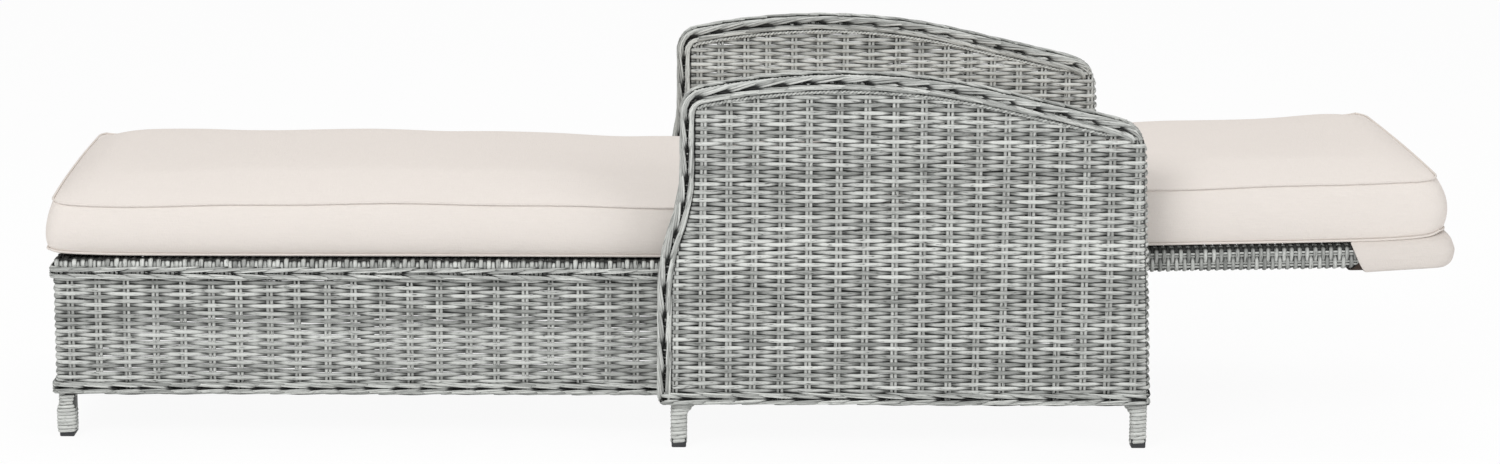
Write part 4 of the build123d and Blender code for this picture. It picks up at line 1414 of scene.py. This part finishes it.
@dataclass
class Legs:
    """Windings and caps of the legs."""

    finishes: Finishes
    half: float = 0.0116
    top: float = 0.0695
    foot: float = 0.0062
    pitch: float = 0.0054
    arm_pitch: float = 0.0062
    inset: float = 0.0132
    bulge: float = 0.0030
    flat: float = 0.0021
    gusset_height: float = 0.016
    cap_half: float = 0.0114
    cap_height: float = 0.0152
    cap_edge: float = 0.0022

    def build(self) -> None:
        """Winds every leg and puts the caps on."""
        for node, inward, x, y in self.pairs(0.0045):
            strands = Strands(31)
            for sign in (-1, 1):
                self.wind(strands, x, sign * y, inward, self.bulge if node == "foot_leg_wraps" else 0.0)
            windings = strands.build(node.replace("wraps", "windings"))
            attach(finish(windings, self.finishes.rows, [node]), "base")
        self.caps()

    def pairs(self, foot_shift: float) -> list[tuple[str, int, float, float]]:
        """Finds the pairs of legs.

        Args:
            foot_shift: how much nearer the end of their box the foot legs stand than the others.

        Returns:
            Each pair's node, the side of its gussets, 1 or -1, and the middle of its far leg.
        """
        pairs = []
        for node, inward, shift in (("foot_leg_wraps", 1, foot_shift), ("arm_front_leg_wraps", 1, 0.0),
                                    ("arm_rear_leg_wraps", -1, 0.0)):
            low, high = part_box(node)
            x = low.x + self.inset - shift if inward > 0 else high.x - self.inset
            pairs.append((node, inward, x, high.y - self.inset))
        return pairs

    def wind(self, strands: Strands, x: float, y: float, inward: int, bulge: float) -> None:
        """Winds one leg from its cap to the rim.

        Args:
            strands: where the winding goes.
            x: middle of the leg.
            y: middle of the leg.
            inward: the side of the gusset, 1 or -1.
            bulge: how far the lower part swells.
        """
        pitch, gusset_reach = (self.pitch, 0.004) if bulge else (self.arm_pitch, 0.013)
        turns = (self.top - self.foot) / pitch
        angle = np.linspace(0, turns * 2 * math.pi, int(turns * 20))
        z = self.foot + pitch * angle / (2 * math.pi)
        c, s = np.cos(angle), np.sin(angle)
        square = 1 / (np.abs(c) ** 5 + np.abs(s) ** 5) ** 0.2
        share = (z - self.foot) / (self.top - self.foot)
        swell = bulge * np.interp(share, [0, 0.12, 0.55, 0.75, 1], [0.3, 1.0, 1.0, -0.1, -0.2])
        swell = swell + strands.lottery.normal(0, 0.00025, len(angle))
        radius = self.half + swell - 0.0006
        rise = np.clip((z - (self.top - self.gusset_height)) / self.gusset_height, 0, 1)
        gusset = rise * gusset_reach * np.clip(c * inward, 0, 1)
        line = np.column_stack([x + c * square * radius + gusset * inward, y + s * square * radius, z])
        outward = np.column_stack([c, s, np.zeros(len(c))])
        strands.add(line, outward, self.flat, pitch * 0.54)

    def cap(self, x: float, y: float) -> bpy.types.Object:
        """Makes the moulded cap of one leg.

        Args:
            x: middle of the leg.
            y: middle of the leg.

        Returns:
            The cap, with rounded edges.
        """
        bpy.ops.object.select_all(action="DESELECT")
        bpy.ops.mesh.primitive_cube_add(size=1.0, location=(x, y, self.cap_height / 2))
        cap = bpy.context.object
        cap.scale = (self.cap_half * 2, self.cap_half * 2, self.cap_height)
        bpy.ops.object.transform_apply(location=True, rotation=True, scale=True)
        bevel = cap.modifiers.new("edges", "BEVEL")
        bevel.width, bevel.segments, bevel.limit_method = self.cap_edge, 3, "NONE"
        bpy.ops.object.modifier_apply(modifier=bevel.name)
        return cap

    def caps(self) -> None:
        """Moulded caps under all legs, joined to one piece."""
        made = [self.cap(x, sign * y) for _, _, x, y in self.pairs(0.0044) for sign in (-1, 1)]
        bpy.ops.object.select_all(action="DESELECT")
        for cap in made:
            cap.select_set(True)
        bpy.context.view_layer.objects.active = made[0]
        bpy.ops.object.join()
        caps = bpy.context.object
        caps.name = caps.data.name = "leg_cap_mouldings"
        caps.data.shade_smooth()
        caps.data.set_sharp_from_angle(angle=math.radians(40))
        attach(finish(caps, self.finishes.cap, ["leg_caps"]), "base")


# Back


@dataclass
class BackFrame:
    """Turns places measured on the back panel into places of the lounger."""

    hinge: tuple[float, float] = (0.300, 0.350)
    tilt: float = math.radians(1.2)

    def place(self, points: np.ndarray) -> np.ndarray:
        """Moves points (along, across, square to the panel) to their places."""
        return self.turn(points) + np.array([self.hinge[0], 0.0, self.hinge[1]])

    def turn(self, directions: np.ndarray) -> np.ndarray:
        """Turns directions with the panel.

        Args:
            directions: one row each, along, across and square to the panel.

        Returns:
            The directions in the lounger's frame.
        """
        c, s = math.cos(self.tilt), math.sin(self.tilt)
        d, y, n = directions.T
        return np.column_stack([d * c - n * s, y, d * s + n * c])

    def aim(self, direction: Point) -> Point:
        """Turns one direction with the panel."""
        return tuple(self.turn(np.array([direction]))[0])


@dataclass
class Back:
    """Woven panel of the back, wound round its side rails."""

    finishes: Finishes
    frame: BackFrame = field(default_factory=BackFrame)
    half: float = 0.2786
    top: float = -0.0542
    bottom: float = -0.0886
    under: float = 0.252
    ear_half: float = 0.268
    ear_drop: float = 0.009
    start: float = -0.003
    ear: float = 0.066
    end: float = 0.718
    count: int = 12
    quick: float = 0.0215
    edge_levels: tuple[float, float] = (-0.0645, -0.0805)

    def waves(self, route: Route) -> Knots:
        """Half turns of the weave on a route, even over the warps and quicker beyond them.

        Args:
            route: the flat route of a row.

        Returns:
            Distances along the route and the half turns at each.
        """
        half, reach = route.length / 2, self.count / 2 * WEAVE.stake_pitch
        extra = (half - reach) / self.quick
        at = np.array([0.0, half - reach, half + reach, route.length])
        return at, np.array([-extra, 0.0, self.count, self.count + extra])

    def lift(self, d: float) -> Lift:
        """Makes the function that puts flat points, across and up, in the plane of a row.

        Args:
            d: the row's distance from the hinge.

        Returns:
            A function of flat points, and whether they are directions.
        """
        def place(flat: np.ndarray, direction: bool) -> np.ndarray:
            """Points in the row's plane."""
            points = at_place(d)(flat, direction)
            return self.frame.turn(points) if direction else self.frame.place(points)

        return place

    def rail_light(self, place: np.ndarray) -> np.ndarray:
        """Painted shade of a row: dark on top, under the cushion, and light down the rails, at most 0.8."""
        return 0.8 * np.clip((-0.0560 - place[:, 1]) / 0.0030, 0.0, 1.0)

    def warp(self, warps: Strands, span: tuple[float, float], y: float, n: float, outward: Point,
             aside: Point, *sizes: float, both: bool = False) -> None:
        """Adds a pair of strands along the panel.

        Args:
            warps: where they go.
            span: distances from the hinge where they begin and end.
            y: their place across.
            n: their place square to the panel.
            outward: outward direction of the face.
            aside: direction from one strand to the other.
            sizes: half thickness, half width and half the distance between the two, as far as given.
            both: whether they are seen from behind too.
        """
        start, end = self.frame.place(np.array([[d, y, n] for d in span]))
        upright(warps, start, end, outward, aside, *sizes, both=both)

    def build(self) -> None:
        """Builds rows and warps."""
        rows, warps = Strands(41), Strands(42)
        half, under, top, bottom = self.half, self.under, self.top, self.bottom
        wound = Route([(-under, bottom), (-half, bottom), (-half, top), (half, top), (half, bottom),
                       (under, bottom)], 0.009)
        ear, drop = self.ear_half, top - self.ear_drop
        plain = Route([(-ear, drop), (-ear, top), (ear, top), (ear, drop)], 0.004)
        along, out = self.frame.aim(ALONG), self.frame.aim(UP)
        d, number = self.start, 0
        while d < self.end:
            route = plain if d < self.ear else wound
            lay(rows, route, self.waves(route), number % 2, self.lift(d), d, along, 1.0, 0.0019, 0.0018,
                0.0031, self.rail_light, True)
            d, number = d + WEAVE.pitch * 1.04, number + 1
        for turn in range(self.count + 1):
            y = (turn - self.count / 2) * WEAVE.stake_pitch
            self.warp(warps, (self.start, self.end), y, top, out, ACROSS, 0.0015, both=True)
        for sign in (-1, 1):
            for n in self.edge_levels:
                self.warp(warps, (self.ear, self.end), sign * half, n, (0.0, sign, 0.0), out,
                          0.0014, 0.0019, 0.0021)
        nodes = ["back_deck", "back_edge_wrap_left", "back_edge_wrap_right"]
        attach(finish(rows.build("back_rows"), self.finishes.rows, nodes), "back")
        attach(finish(warps.build("back_warps"), self.finishes.stakes, []), "back")


# Soft pieces


class BoxGrid:
    """The skin of a block cut into a grid."""

    def __init__(self, across: np.ndarray, over: np.ndarray, up: np.ndarray) -> None:
        """Numbers the grid's points and makes its faces.

        Args:
            across: shares from 0 to 1 along the first axis.
            over: shares along the second axis.
            up: shares along the third axis.
        """
        counts = (len(across), len(over), len(up))
        inside = np.zeros(counts, bool)
        inside[1:-1, 1:-1, 1:-1] = True
        self.number = np.full(counts, -1)
        self.number[~inside] = np.arange((~inside).sum())
        self.ijk = np.stack(np.nonzero(~inside), 1)
        self.share = np.stack([across[self.ijk[:, 0]], over[self.ijk[:, 1]], up[self.ijk[:, 2]]], 1)
        self.parts = []
        for axis in range(3):
            for end in (0, -1):
                quads = squares(np.take(self.number, end, axis))
                forward = (end == -1) == (axis != 1)
                self.parts.append(quads if forward else quads[:, ::-1])
        self.quads = np.concatenate(self.parts)

    def loop(self, level: int) -> np.ndarray:
        """Point numbers round the block at a level."""
        sheet = self.number[:, :, level]
        return np.concatenate([sheet[:-1, 0], sheet[-1, :-1], sheet[::-1, -1][:-1], sheet[0, ::-1][:-1]])


def spaced(length: float, step: float) -> np.ndarray:
    """Shares from 0 to 1, closer together near both ends.

    Args:
        length: the length that 1 stands for.
        step: the spacing in the middle.

    Returns:
        The shares.
    """
    lead = np.cumsum((0.004, 0.006, 0.008, 0.010))
    count = max(1, round((length - 2 * lead[-1]) / step))
    middle = np.linspace(lead[-1], length - lead[-1], count + 1)
    return np.concatenate([[0.0], lead[:-1], middle, length - lead[:-1][::-1], [length]]) / length


@dataclass(frozen=True)
class Filling:
    """Settings of the simulation that fills a cushion."""

    frames: int = 20
    quality: int = 5
    mass: float = 0.3
    stretch: float = 12.0
    shear: float = 6.0
    bending: float = 0.4
    pressure: float = 3.0
    shrink: float = -0.014
    smoothing: int = 24
    side_limit: float = 0.004


@dataclass
class Cushion:
    """Boxed cushion with a crowned top and piping on both seams."""

    name: str
    finishes: Finishes
    node: str
    body: str
    low_ends: tuple[float, float]
    high_ends: tuple[float, float]
    base: float
    high_seam: tuple[float, float]
    crown: float
    half: float = 0.272
    radii: tuple[float, float] = (0.026, 0.026)
    bows: tuple[float, float] = (0.0, 0.0)
    bellies: tuple[float, float] = (0.003, 0.003)
    lifts: tuple[float, float] = (0.0, 0.0)
    low_seam: float = 0.003
    dip: float = 0.004
    swell: float = 0.0045
    far_rises: tuple[float, float] = (0.0, 0.0)
    far_corner: float = 0.0
    tuck: float = 0.0
    skew: float = 0.0
    points_up: tuple[float, float] = (0.005, 0.0)
    wave: float = 0.0028
    wave_start: float = 0.0
    foot: float = 0.034
    step: float = 0.0125
    puff: float = 0.006
    placed: BackFrame | None = None
    fill: float = 0.7
    filling: Filling = field(default_factory=Filling)

    def rest_points(self, grid: BoxGrid, crown: float) -> np.ndarray:
        """Shape of the cover before it is filled.

        Args:
            grid: the grid of the block.
            crown: how far the top rises over its seam.

        Returns:
            The points in the cushion's own frame.
        """
        a, b, c = grid.share.T
        crown_reach, corner_reach, point_reach, lift_reach = 0.13, 0.06, 0.03, 0.05
        lows, highs, bulge = self.low_ends, self.high_ends, 4 * c * (1 - c)
        length = highs[1] - highs[0]
        from_foot, from_head = -a * length, (a - 1) * length
        start = lows[0] + (highs[0] - lows[0]) * c - self.bellies[0] * bulge + self.tuck * np.exp(-c / 0.08)
        stop = lows[1] + (highs[1] - lows[1] + self.skew * b) * c + self.bellies[1] * bulge
        half_x, mid_x, half_y = (stop - start) / 2, (start + stop) / 2, self.half + self.swell * bulge
        x, y = (2 * a - 1) * half_x, (2 * b - 1) * half_y
        x, y = rounded(x, y, half_x, half_y, np.where(x < 0, *self.radii))
        y *= 1 - self.dip / self.half * (1 - (x / half_x) ** 2)
        bow = np.where(x < 0, *self.bows)
        x += np.sign(x) * bow * np.abs(x / half_x) ** 9 * (1 - (y / half_y) ** 2)
        over = np.minimum(b, 1 - b) * 2
        along = np.minimum(np.minimum(a, 1 - a) * length / crown_reach, 1)
        top = (1 - (1 - over) ** 4) * (1 - (1 - along) ** 4)
        seam = self.high_seam[0] + (self.high_seam[1] - self.high_seam[0]) * a
        far = self.far_rises[0] + (self.far_rises[1] - self.far_rises[0]) * a
        seam = seam + b * (far + self.far_corner * np.exp(from_head / corner_reach))
        seam = seam + self.wave * np.sin(6.5 * (x + mid_x) + self.wave_start)
        seam = seam + 0.0008 * np.sin(23 * x + 4 * y)
        seam = seam + self.points_up[0] * np.exp(from_foot / point_reach)
        seam = seam + self.points_up[1] * np.exp(from_head / point_reach)
        lift = self.lifts[0] * np.exp(from_foot / lift_reach) + self.lifts[1] * np.exp(from_head / lift_reach)
        low = self.low_seam + lift
        inward = np.minimum(np.minimum(a, 1 - a) * length, np.minimum(b, 1 - b) * self.half * 2)
        n = low + (seam - low) * c
        n = np.where(c == 1, n + crown * top, n)
        n = np.where(c == 0, low * (1 - np.clip(inward / self.foot, 0, 1)), n)
        return np.column_stack([x + mid_x, y, n + self.base])

    def settle(self, cover: bpy.types.Object, grid: BoxGrid) -> None:
        """Fills the cover with cloth simulation, its seams and its flat underside held.

        Args:
            cover: the cover's object.
            grid: the grid of the block.
        """
        start, c, filling = places_of(cover.data), grid.share[:, 2], self.filling
        i, j = grid.ijk[:, 0], grid.ijk[:, 1]
        edge = np.isin(i, (0, i.max())) | np.isin(j, (0, j.max()))
        held = (c == 0) | ((c == 1) & edge)
        group = cover.vertex_groups.new(name="held")
        group.add([int(number) for number in np.nonzero(held)[0]], 1.0, "REPLACE")
        cloth = cover.modifiers.new("filling", "CLOTH")
        settings, scene = cloth.settings, bpy.context.scene
        settings.quality, settings.mass = filling.quality, filling.mass
        settings.tension_stiffness = settings.compression_stiffness = filling.stretch
        settings.shear_stiffness, settings.bending_stiffness = filling.shear, filling.bending
        settings.use_pressure, settings.uniform_pressure_force = True, filling.pressure
        settings.shrink_min = filling.shrink
        settings.effector_weights.gravity = 0.0
        settings.vertex_group_mass = "held"
        cloth.collision_settings.use_collision = cloth.collision_settings.use_self_collision = False
        for span in (scene, cloth.point_cache):
            span.frame_start, span.frame_end = 1, filling.frames
        for number in range(1, filling.frames + 1):
            scene.frame_set(number)
        filled = cover.evaluated_get(bpy.context.evaluated_depsgraph_get())
        moved = places_of(filled.to_mesh()) - start
        filled.to_mesh_clear()
        cover.modifiers.remove(cloth)
        scene.frame_set(1)
        move_to(cover.data, start + self.evened(moved, held, c, grid))

    def evened(self, moved: np.ndarray, held: np.ndarray, c: np.ndarray, grid: BoxGrid) -> np.ndarray:
        """Smooths what the simulation moved and keeps it within limits.

        Args:
            moved: how far each point moved.
            held: whether each point was held.
            c: each point's share of the height.
            grid: the grid of the block.

        Returns:
            How far each point may move.
        """
        sides = np.concatenate([grid.quads[:, [k, (k + 1) % 4]] for k in range(4)])
        count = np.bincount(sides[:, 0], minlength=len(moved))[:, None]
        for _ in range(self.filling.smoothing):
            near = np.zeros_like(moved)
            np.add.at(near, sides[:, 0], moved[sides[:, 1]])
            moved = np.where(held[:, None], moved, (moved + near / count) / 2)
        size = np.linalg.norm(moved, axis=1, keepdims=True)
        limit = np.where(c[:, None] == 1, self.puff * 1.6, self.filling.side_limit)
        return moved * np.minimum(1, limit / np.maximum(size, 1e-9))

    def build(self) -> None:
        """Builds the cover and its piping."""
        length = self.high_ends[1] - self.high_ends[0]
        grid = BoxGrid(spaced(length, self.step), spaced(self.half * 2, self.step), np.linspace(0, 1, 8))
        points = self.rest_points(grid, self.crown - self.puff * 1.5)
        cover = mesh_piece(f"{self.name}_cover", points, grid.quads)
        self.settle(cover, grid)
        local = places_of(cover.data)
        place = self.placed.place if self.placed else (lambda points: points)
        move_to(cover.data, place(local))
        only(cover)
        smoothed(cover)
        piping = Strands(51, 8)
        for level, out, rise, size in ((0, 0.0014, 0.0002, 0.0020), (-1, 0.0009, 0.0004, 0.0018)):
            ring = local[grid.loop(level)]
            outward = unit(np.cross(np.roll(ring, -1, 0) - np.roll(ring, 1, 0), np.array(UP)))
            ring = ring + outward * out + np.array([0.0, 0.0, rise])
            turned = self.placed.turn(outward) if self.placed else outward
            piping.add(place(ring), turned, size, size, None, True)
        finish(cover, self.finishes.canvas, [self.node])
        cord = finish(piping.build(f"{self.name}_piping"), self.finishes.piping, [])
        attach(cover, self.body)
        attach(cord, self.body)


@dataclass
class Pocket:
    """Fabric pocket over the head end of the back, sewn under the cushion's edge."""

    finishes: Finishes
    frame: BackFrame = field(default_factory=BackFrame)
    mouth: tuple[float, float] = (0.632, 0.655)
    levels: tuple[float, ...] = (0.0, 0.12, 0.45, 0.8, 1.0)
    ends: tuple[float, ...] = (0.7930, 0.7985, 0.8020, 0.7960, 0.7850)
    halves: tuple[float, ...] = (0.2815, 0.2840, 0.2852, 0.2825, 0.2712)
    lows: tuple[float, float] = (-0.0962, -0.0895)
    thickness: float = 0.0016
    dark_sheet_half: float = 0.2832
    dark_sheet_span: tuple[float, float] = (-0.0940, -0.064)
    dark_sheet_end: float = 0.672
    dark_sheet_thickness: float = 0.0024

    def shape(self, grid: BoxGrid) -> np.ndarray:
        """Places of the grid's points on the pocket, measured on the back.

        Args:
            grid: the grid of the block.

        Returns:
            The places, along, across and square to the panel.
        """
        a, b, c = grid.share.T
        front = self.mouth[1] + (self.mouth[0] - self.mouth[1]) * c**0.7
        end, half = np.interp(c, self.levels, self.ends), np.interp(c, self.levels, self.halves)
        d, y = front + (end - front) * a, (2 * b - 1) * half
        d, y = rounded(d, y, end, half, 0.034 + 0.014 * c**8)
        low = self.lows[0] + (self.lows[1] - self.lows[0]) * a
        top = -0.0487 + 0.012 * np.exp(np.minimum(d - 0.785, 0) / 0.05)
        n = low + (top - low) * c + 0.0011 * np.sin(d * 75 + y * 14) * 4 * c * (1 - c)
        under = (c == 0) * np.clip((end - d) / 0.02, 0, 1) * np.clip((half - np.abs(y)) / 0.012, 0, 1)
        n = n - 0.0012 * under + 0.0016 * np.sin(y * 31) * under * np.clip((a - 0.2) / 0.4, 0, 1)
        return np.column_stack([d, y, n])

    def build(self) -> None:
        """Builds the pocket and the dark sheet at its mouth."""
        grid = BoxGrid(np.linspace(0, 1, 24), spaced(0.56, 0.0115), np.linspace(0, 1, 12))
        quads = np.concatenate(grid.parts[1:])
        quads = quads[grid.share[:, 2][quads].min(1) < 1]
        used = np.unique(quads)
        order = np.full(len(grid.share), -1)
        order[used] = np.arange(len(used))
        points = self.frame.place(self.shape(grid))
        cloth = mesh_piece("head_pocket_cloth", points[used], order[quads])
        self.thicken(cloth, self.thickness)
        finish(cloth, self.finishes.pocket, ["head_pocket", "head_roll"])
        dark_sheet = self.dark_sheet()
        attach(cloth, "back")

    def thicken(self, cloth: bpy.types.Object, thickness: float) -> None:
        """Gives a cloth its thickness and smooths it.

        Args:
            cloth: the cloth's object.
            thickness: the thickness.
        """
        only(cloth)
        shell = cloth.modifiers.new("cloth", "SOLIDIFY")
        shell.thickness, shell.offset = thickness, -1.0
        bpy.ops.object.modifier_apply(modifier=shell.name)
        smoothed(cloth)

    def dark_sheet(self) -> bpy.types.Object:
        """Dark sheet that shows under the panel in front of the pocket's mouth.

        Returns:
            The dark sheet's object.
        """
        half, (low, high) = self.dark_sheet_half, self.dark_sheet_span
        path = Route([(-half, high), (-half, low), (half, low), (half, high)], 0.010)
        ends = np.linspace(0, 0.05, 14)
        s = np.unique(np.concatenate([np.linspace(0, path.length, 50), ends, path.length - ends]))
        y, n = np.hsplit(path.at(s)[0], 2)
        front = 0.629 + 0.026 * np.clip((n - low) / 0.03, 0, 1) ** 0.7
        d = front + (self.dark_sheet_end - front) * np.linspace(0, 1, 6)
        points = np.stack(np.broadcast_arrays(d, y, n), -1).reshape(-1, 3)
        quads = squares(np.arange(d.size).reshape(d.shape))
        dark_sheet = mesh_piece("head_pocket_dark_sheet", self.frame.place(points), quads)
        self.thicken(dark_sheet, self.dark_sheet_thickness)
        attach(finish(dark_sheet, self.finishes.dark_sheet_finish, []), "back")
        return dark_sheet


# Frame finishes and studio


def dress_frame(finishes: Finishes) -> None:
    """Gives every frame piece that stays its finish.

    Args:
        finishes: the lounger's finishes.
    """
    by_slot = {"frame_tube": finishes.tube, "fitting_steel": finishes.steel, "cap_plastic": finishes.cap,
               "washer_plastic": finishes.nylon, "buffer_rubber": finishes.rubber,
               "woven_wicker": finishes.tube, "cushion_fabric": finishes.canvas}
    slots = {part["node"]: part["material_slot"] for part in frame["record"]["subparts"]}
    for name, node in frame["nodes"].items():
        material = by_slot[slots[name]]
        for entry in node.material_slots:
            entry.material = material


@dataclass
class Studio:
    """Floor, light and camera."""

    eye: Point = (-0.163, -5.851, 1.428)
    yaw: float = math.radians(1.59)
    pitch: float = math.radians(11.16)
    roll: float = math.radians(0.51)
    focal: float = 3646.8
    frame_width: float = 1500.0

    def build(self) -> None:
        """Builds the whole studio."""
        self.floor()
        self.world()
        self.lamps()
        self.camera()

    def floor(self) -> None:
        """A pale floor that keeps the lounger's shadow and is white to the camera."""
        bpy.ops.object.select_all(action="DESELECT")
        bpy.ops.mesh.primitive_plane_add(size=60.0, location=(0.0, 0.0, -0.0005))
        floor = bpy.context.object
        floor.name = "studio_floor"
        bench = Bench("studio_floor")
        pale = {"Base Color": (0.95, 0.95, 0.95, 1.0), "Roughness": 0.9, "Specular IOR Level": 0.1}
        shader = bench.node("ShaderNodeBsdfPrincipled", None, pale)
        glow = bench.node("ShaderNodeEmission", None, {"Color": (1.0, 1.0, 1.0, 1.0), "Strength": 1.0})
        camera, mirror = [bench.node("ShaderNodeLightPath", None, None, ray)
                          for ray in ("Is Camera Ray", "Is Glossy Ray")]
        seen = bench.node("ShaderNodeMath", {"operation": "MAXIMUM"}, {0: camera, 1: mirror})
        bench.show(bench.node("ShaderNodeMixShader", None, {0: seen * 0.94, 1: shader, 2: glow}))
        floor.data.materials.append(bench.material)

    def world(self) -> None:
        """Even light from all round, white where the camera looks past the floor."""
        world = bpy.data.worlds.new("studio")
        bpy.context.scene.world = world
        world.use_nodes = True
        tree = world.node_tree
        tree.nodes.clear()
        path = tree.nodes.new("ShaderNodeLightPath")
        light, backdrop = [tree.nodes.new("ShaderNodeBackground") for _ in range(2)]
        for background, strength in ((light, 0.50), (backdrop, 1.0)):
            background.inputs["Color"].default_value = (1.0, 1.0, 1.0, 1.0)
            background.inputs["Strength"].default_value = strength
        mix, out = tree.nodes.new("ShaderNodeMixShader"), tree.nodes.new("ShaderNodeOutputWorld")
        either = tree.nodes.new("ShaderNodeMath")
        either.operation = "MAXIMUM"
        tree.links.new(path.outputs["Is Camera Ray"], either.inputs[0])
        tree.links.new(path.outputs["Is Transmission Ray"], either.inputs[1])
        tree.links.new(either.outputs[0], mix.inputs[0])
        tree.links.new(light.outputs[0], mix.inputs[1])
        tree.links.new(backdrop.outputs[0], mix.inputs[2])
        tree.links.new(mix.outputs[0], out.inputs[0])

    def lamp(self, name: str, place: Point, size: float, power: float) -> None:
        """Adds a square lamp that faces the lounger.

        Args:
            name: its name.
            place: where it stands.
            size: its side.
            power: its power in watts.
        """
        data = bpy.data.lights.new(name, "AREA")
        data.shape, data.size, data.energy = "SQUARE", size, power
        lamp = bpy.data.objects.new(name, data)
        lamp.location = place
        aim = Vector((0.0, 0.0, 0.3)) - Vector(place)
        lamp.rotation_euler = aim.to_track_quat("-Z", "Y").to_euler()
        bpy.context.scene.collection.objects.link(lamp)

    def lamps(self) -> None:
        """A broad key from the front left above, a softer lamp from the right and one from above."""
        self.lamp("key", (-2.4, -4.2, 3.8), 2.6, 135.0)
        self.lamp("fill", (3.4, -3.2, 2.6), 2.4, 52.0)
        self.lamp("top", (0.3, 1.6, 4.4), 2.8, 48.0)

    def camera(self) -> None:
        """The photograph's camera."""
        level = math.cos(self.pitch)
        forward = Vector((math.sin(self.yaw) * level, math.cos(self.yaw) * level, -math.sin(self.pitch)))
        right = Vector((math.cos(self.yaw), -math.sin(self.yaw), 0.0))
        up = right.cross(forward)
        right, up = (right * math.cos(self.roll) + up * math.sin(self.roll),
                     up * math.cos(self.roll) - right * math.sin(self.roll))
        data = bpy.data.cameras.new("camera")
        data.sensor_fit, data.sensor_width = "HORIZONTAL", 36.0
        data.lens = self.focal * data.sensor_width / self.frame_width
        data.clip_start, data.clip_end = 0.1, 100.0
        camera = bpy.data.objects.new("camera", data)
        turn = Matrix((right, up, -forward)).transposed().to_4x4()
        camera.matrix_world = Matrix.Translation(Vector(self.eye)) @ turn
        bpy.context.scene.collection.objects.link(camera)
        bpy.context.scene.camera = camera


def main() -> None:
    """Builds the lounger's looks in order and reports each piece."""
    logging.basicConfig(level=logging.INFO, format="%(message)s")
    bpy.context.scene.view_settings.view_transform = "Standard"
    bpy.ops.object.select_all(action="DESELECT")
    finishes = Finishes()
    dress_frame(finishes)
    Base(finishes).build()
    for side in Side:
        Arm(finishes, side).build()
    Legs(finishes).build()
    Back(finishes).build()
    Cushion("seat_cushion", finishes, "seat_cushion", "base", low_ends=(-1.1045, 0.2885),
            high_ends=(-1.0915, 0.2885), base=0.2843, high_seam=(0.083, 0.083), crown=0.037,
            bows=(0.005, 0.0), bellies=(0.0045, 0.003), tuck=0.0035, lifts=(0.0065, 0.0),
            far_rises=(0.018, 0.001), wave_start=5.15).build()
    Cushion("back_cushion", finishes, "back_cushion", "back", low_ends=(0.0215, 0.7850),
            high_ends=(0.0215, 0.7725), base=-0.0494, high_seam=(0.0855, 0.0955), crown=0.030,
            radii=(0.026, 0.042), bellies=(0.003, 0.0115), bows=(0.0, 0.004), skew=-0.022,
            points_up=(0.0, -0.001), far_rises=(0.007, 0.007), far_corner=0.013, lifts=(0.0, 0.012),
            low_seam=0.0015, wave=0.0012, wave_start=2.0, placed=BackFrame()).build()
    Pocket(finishes).build()
    Studio().build()


if __name__ == "__main__":
    main()
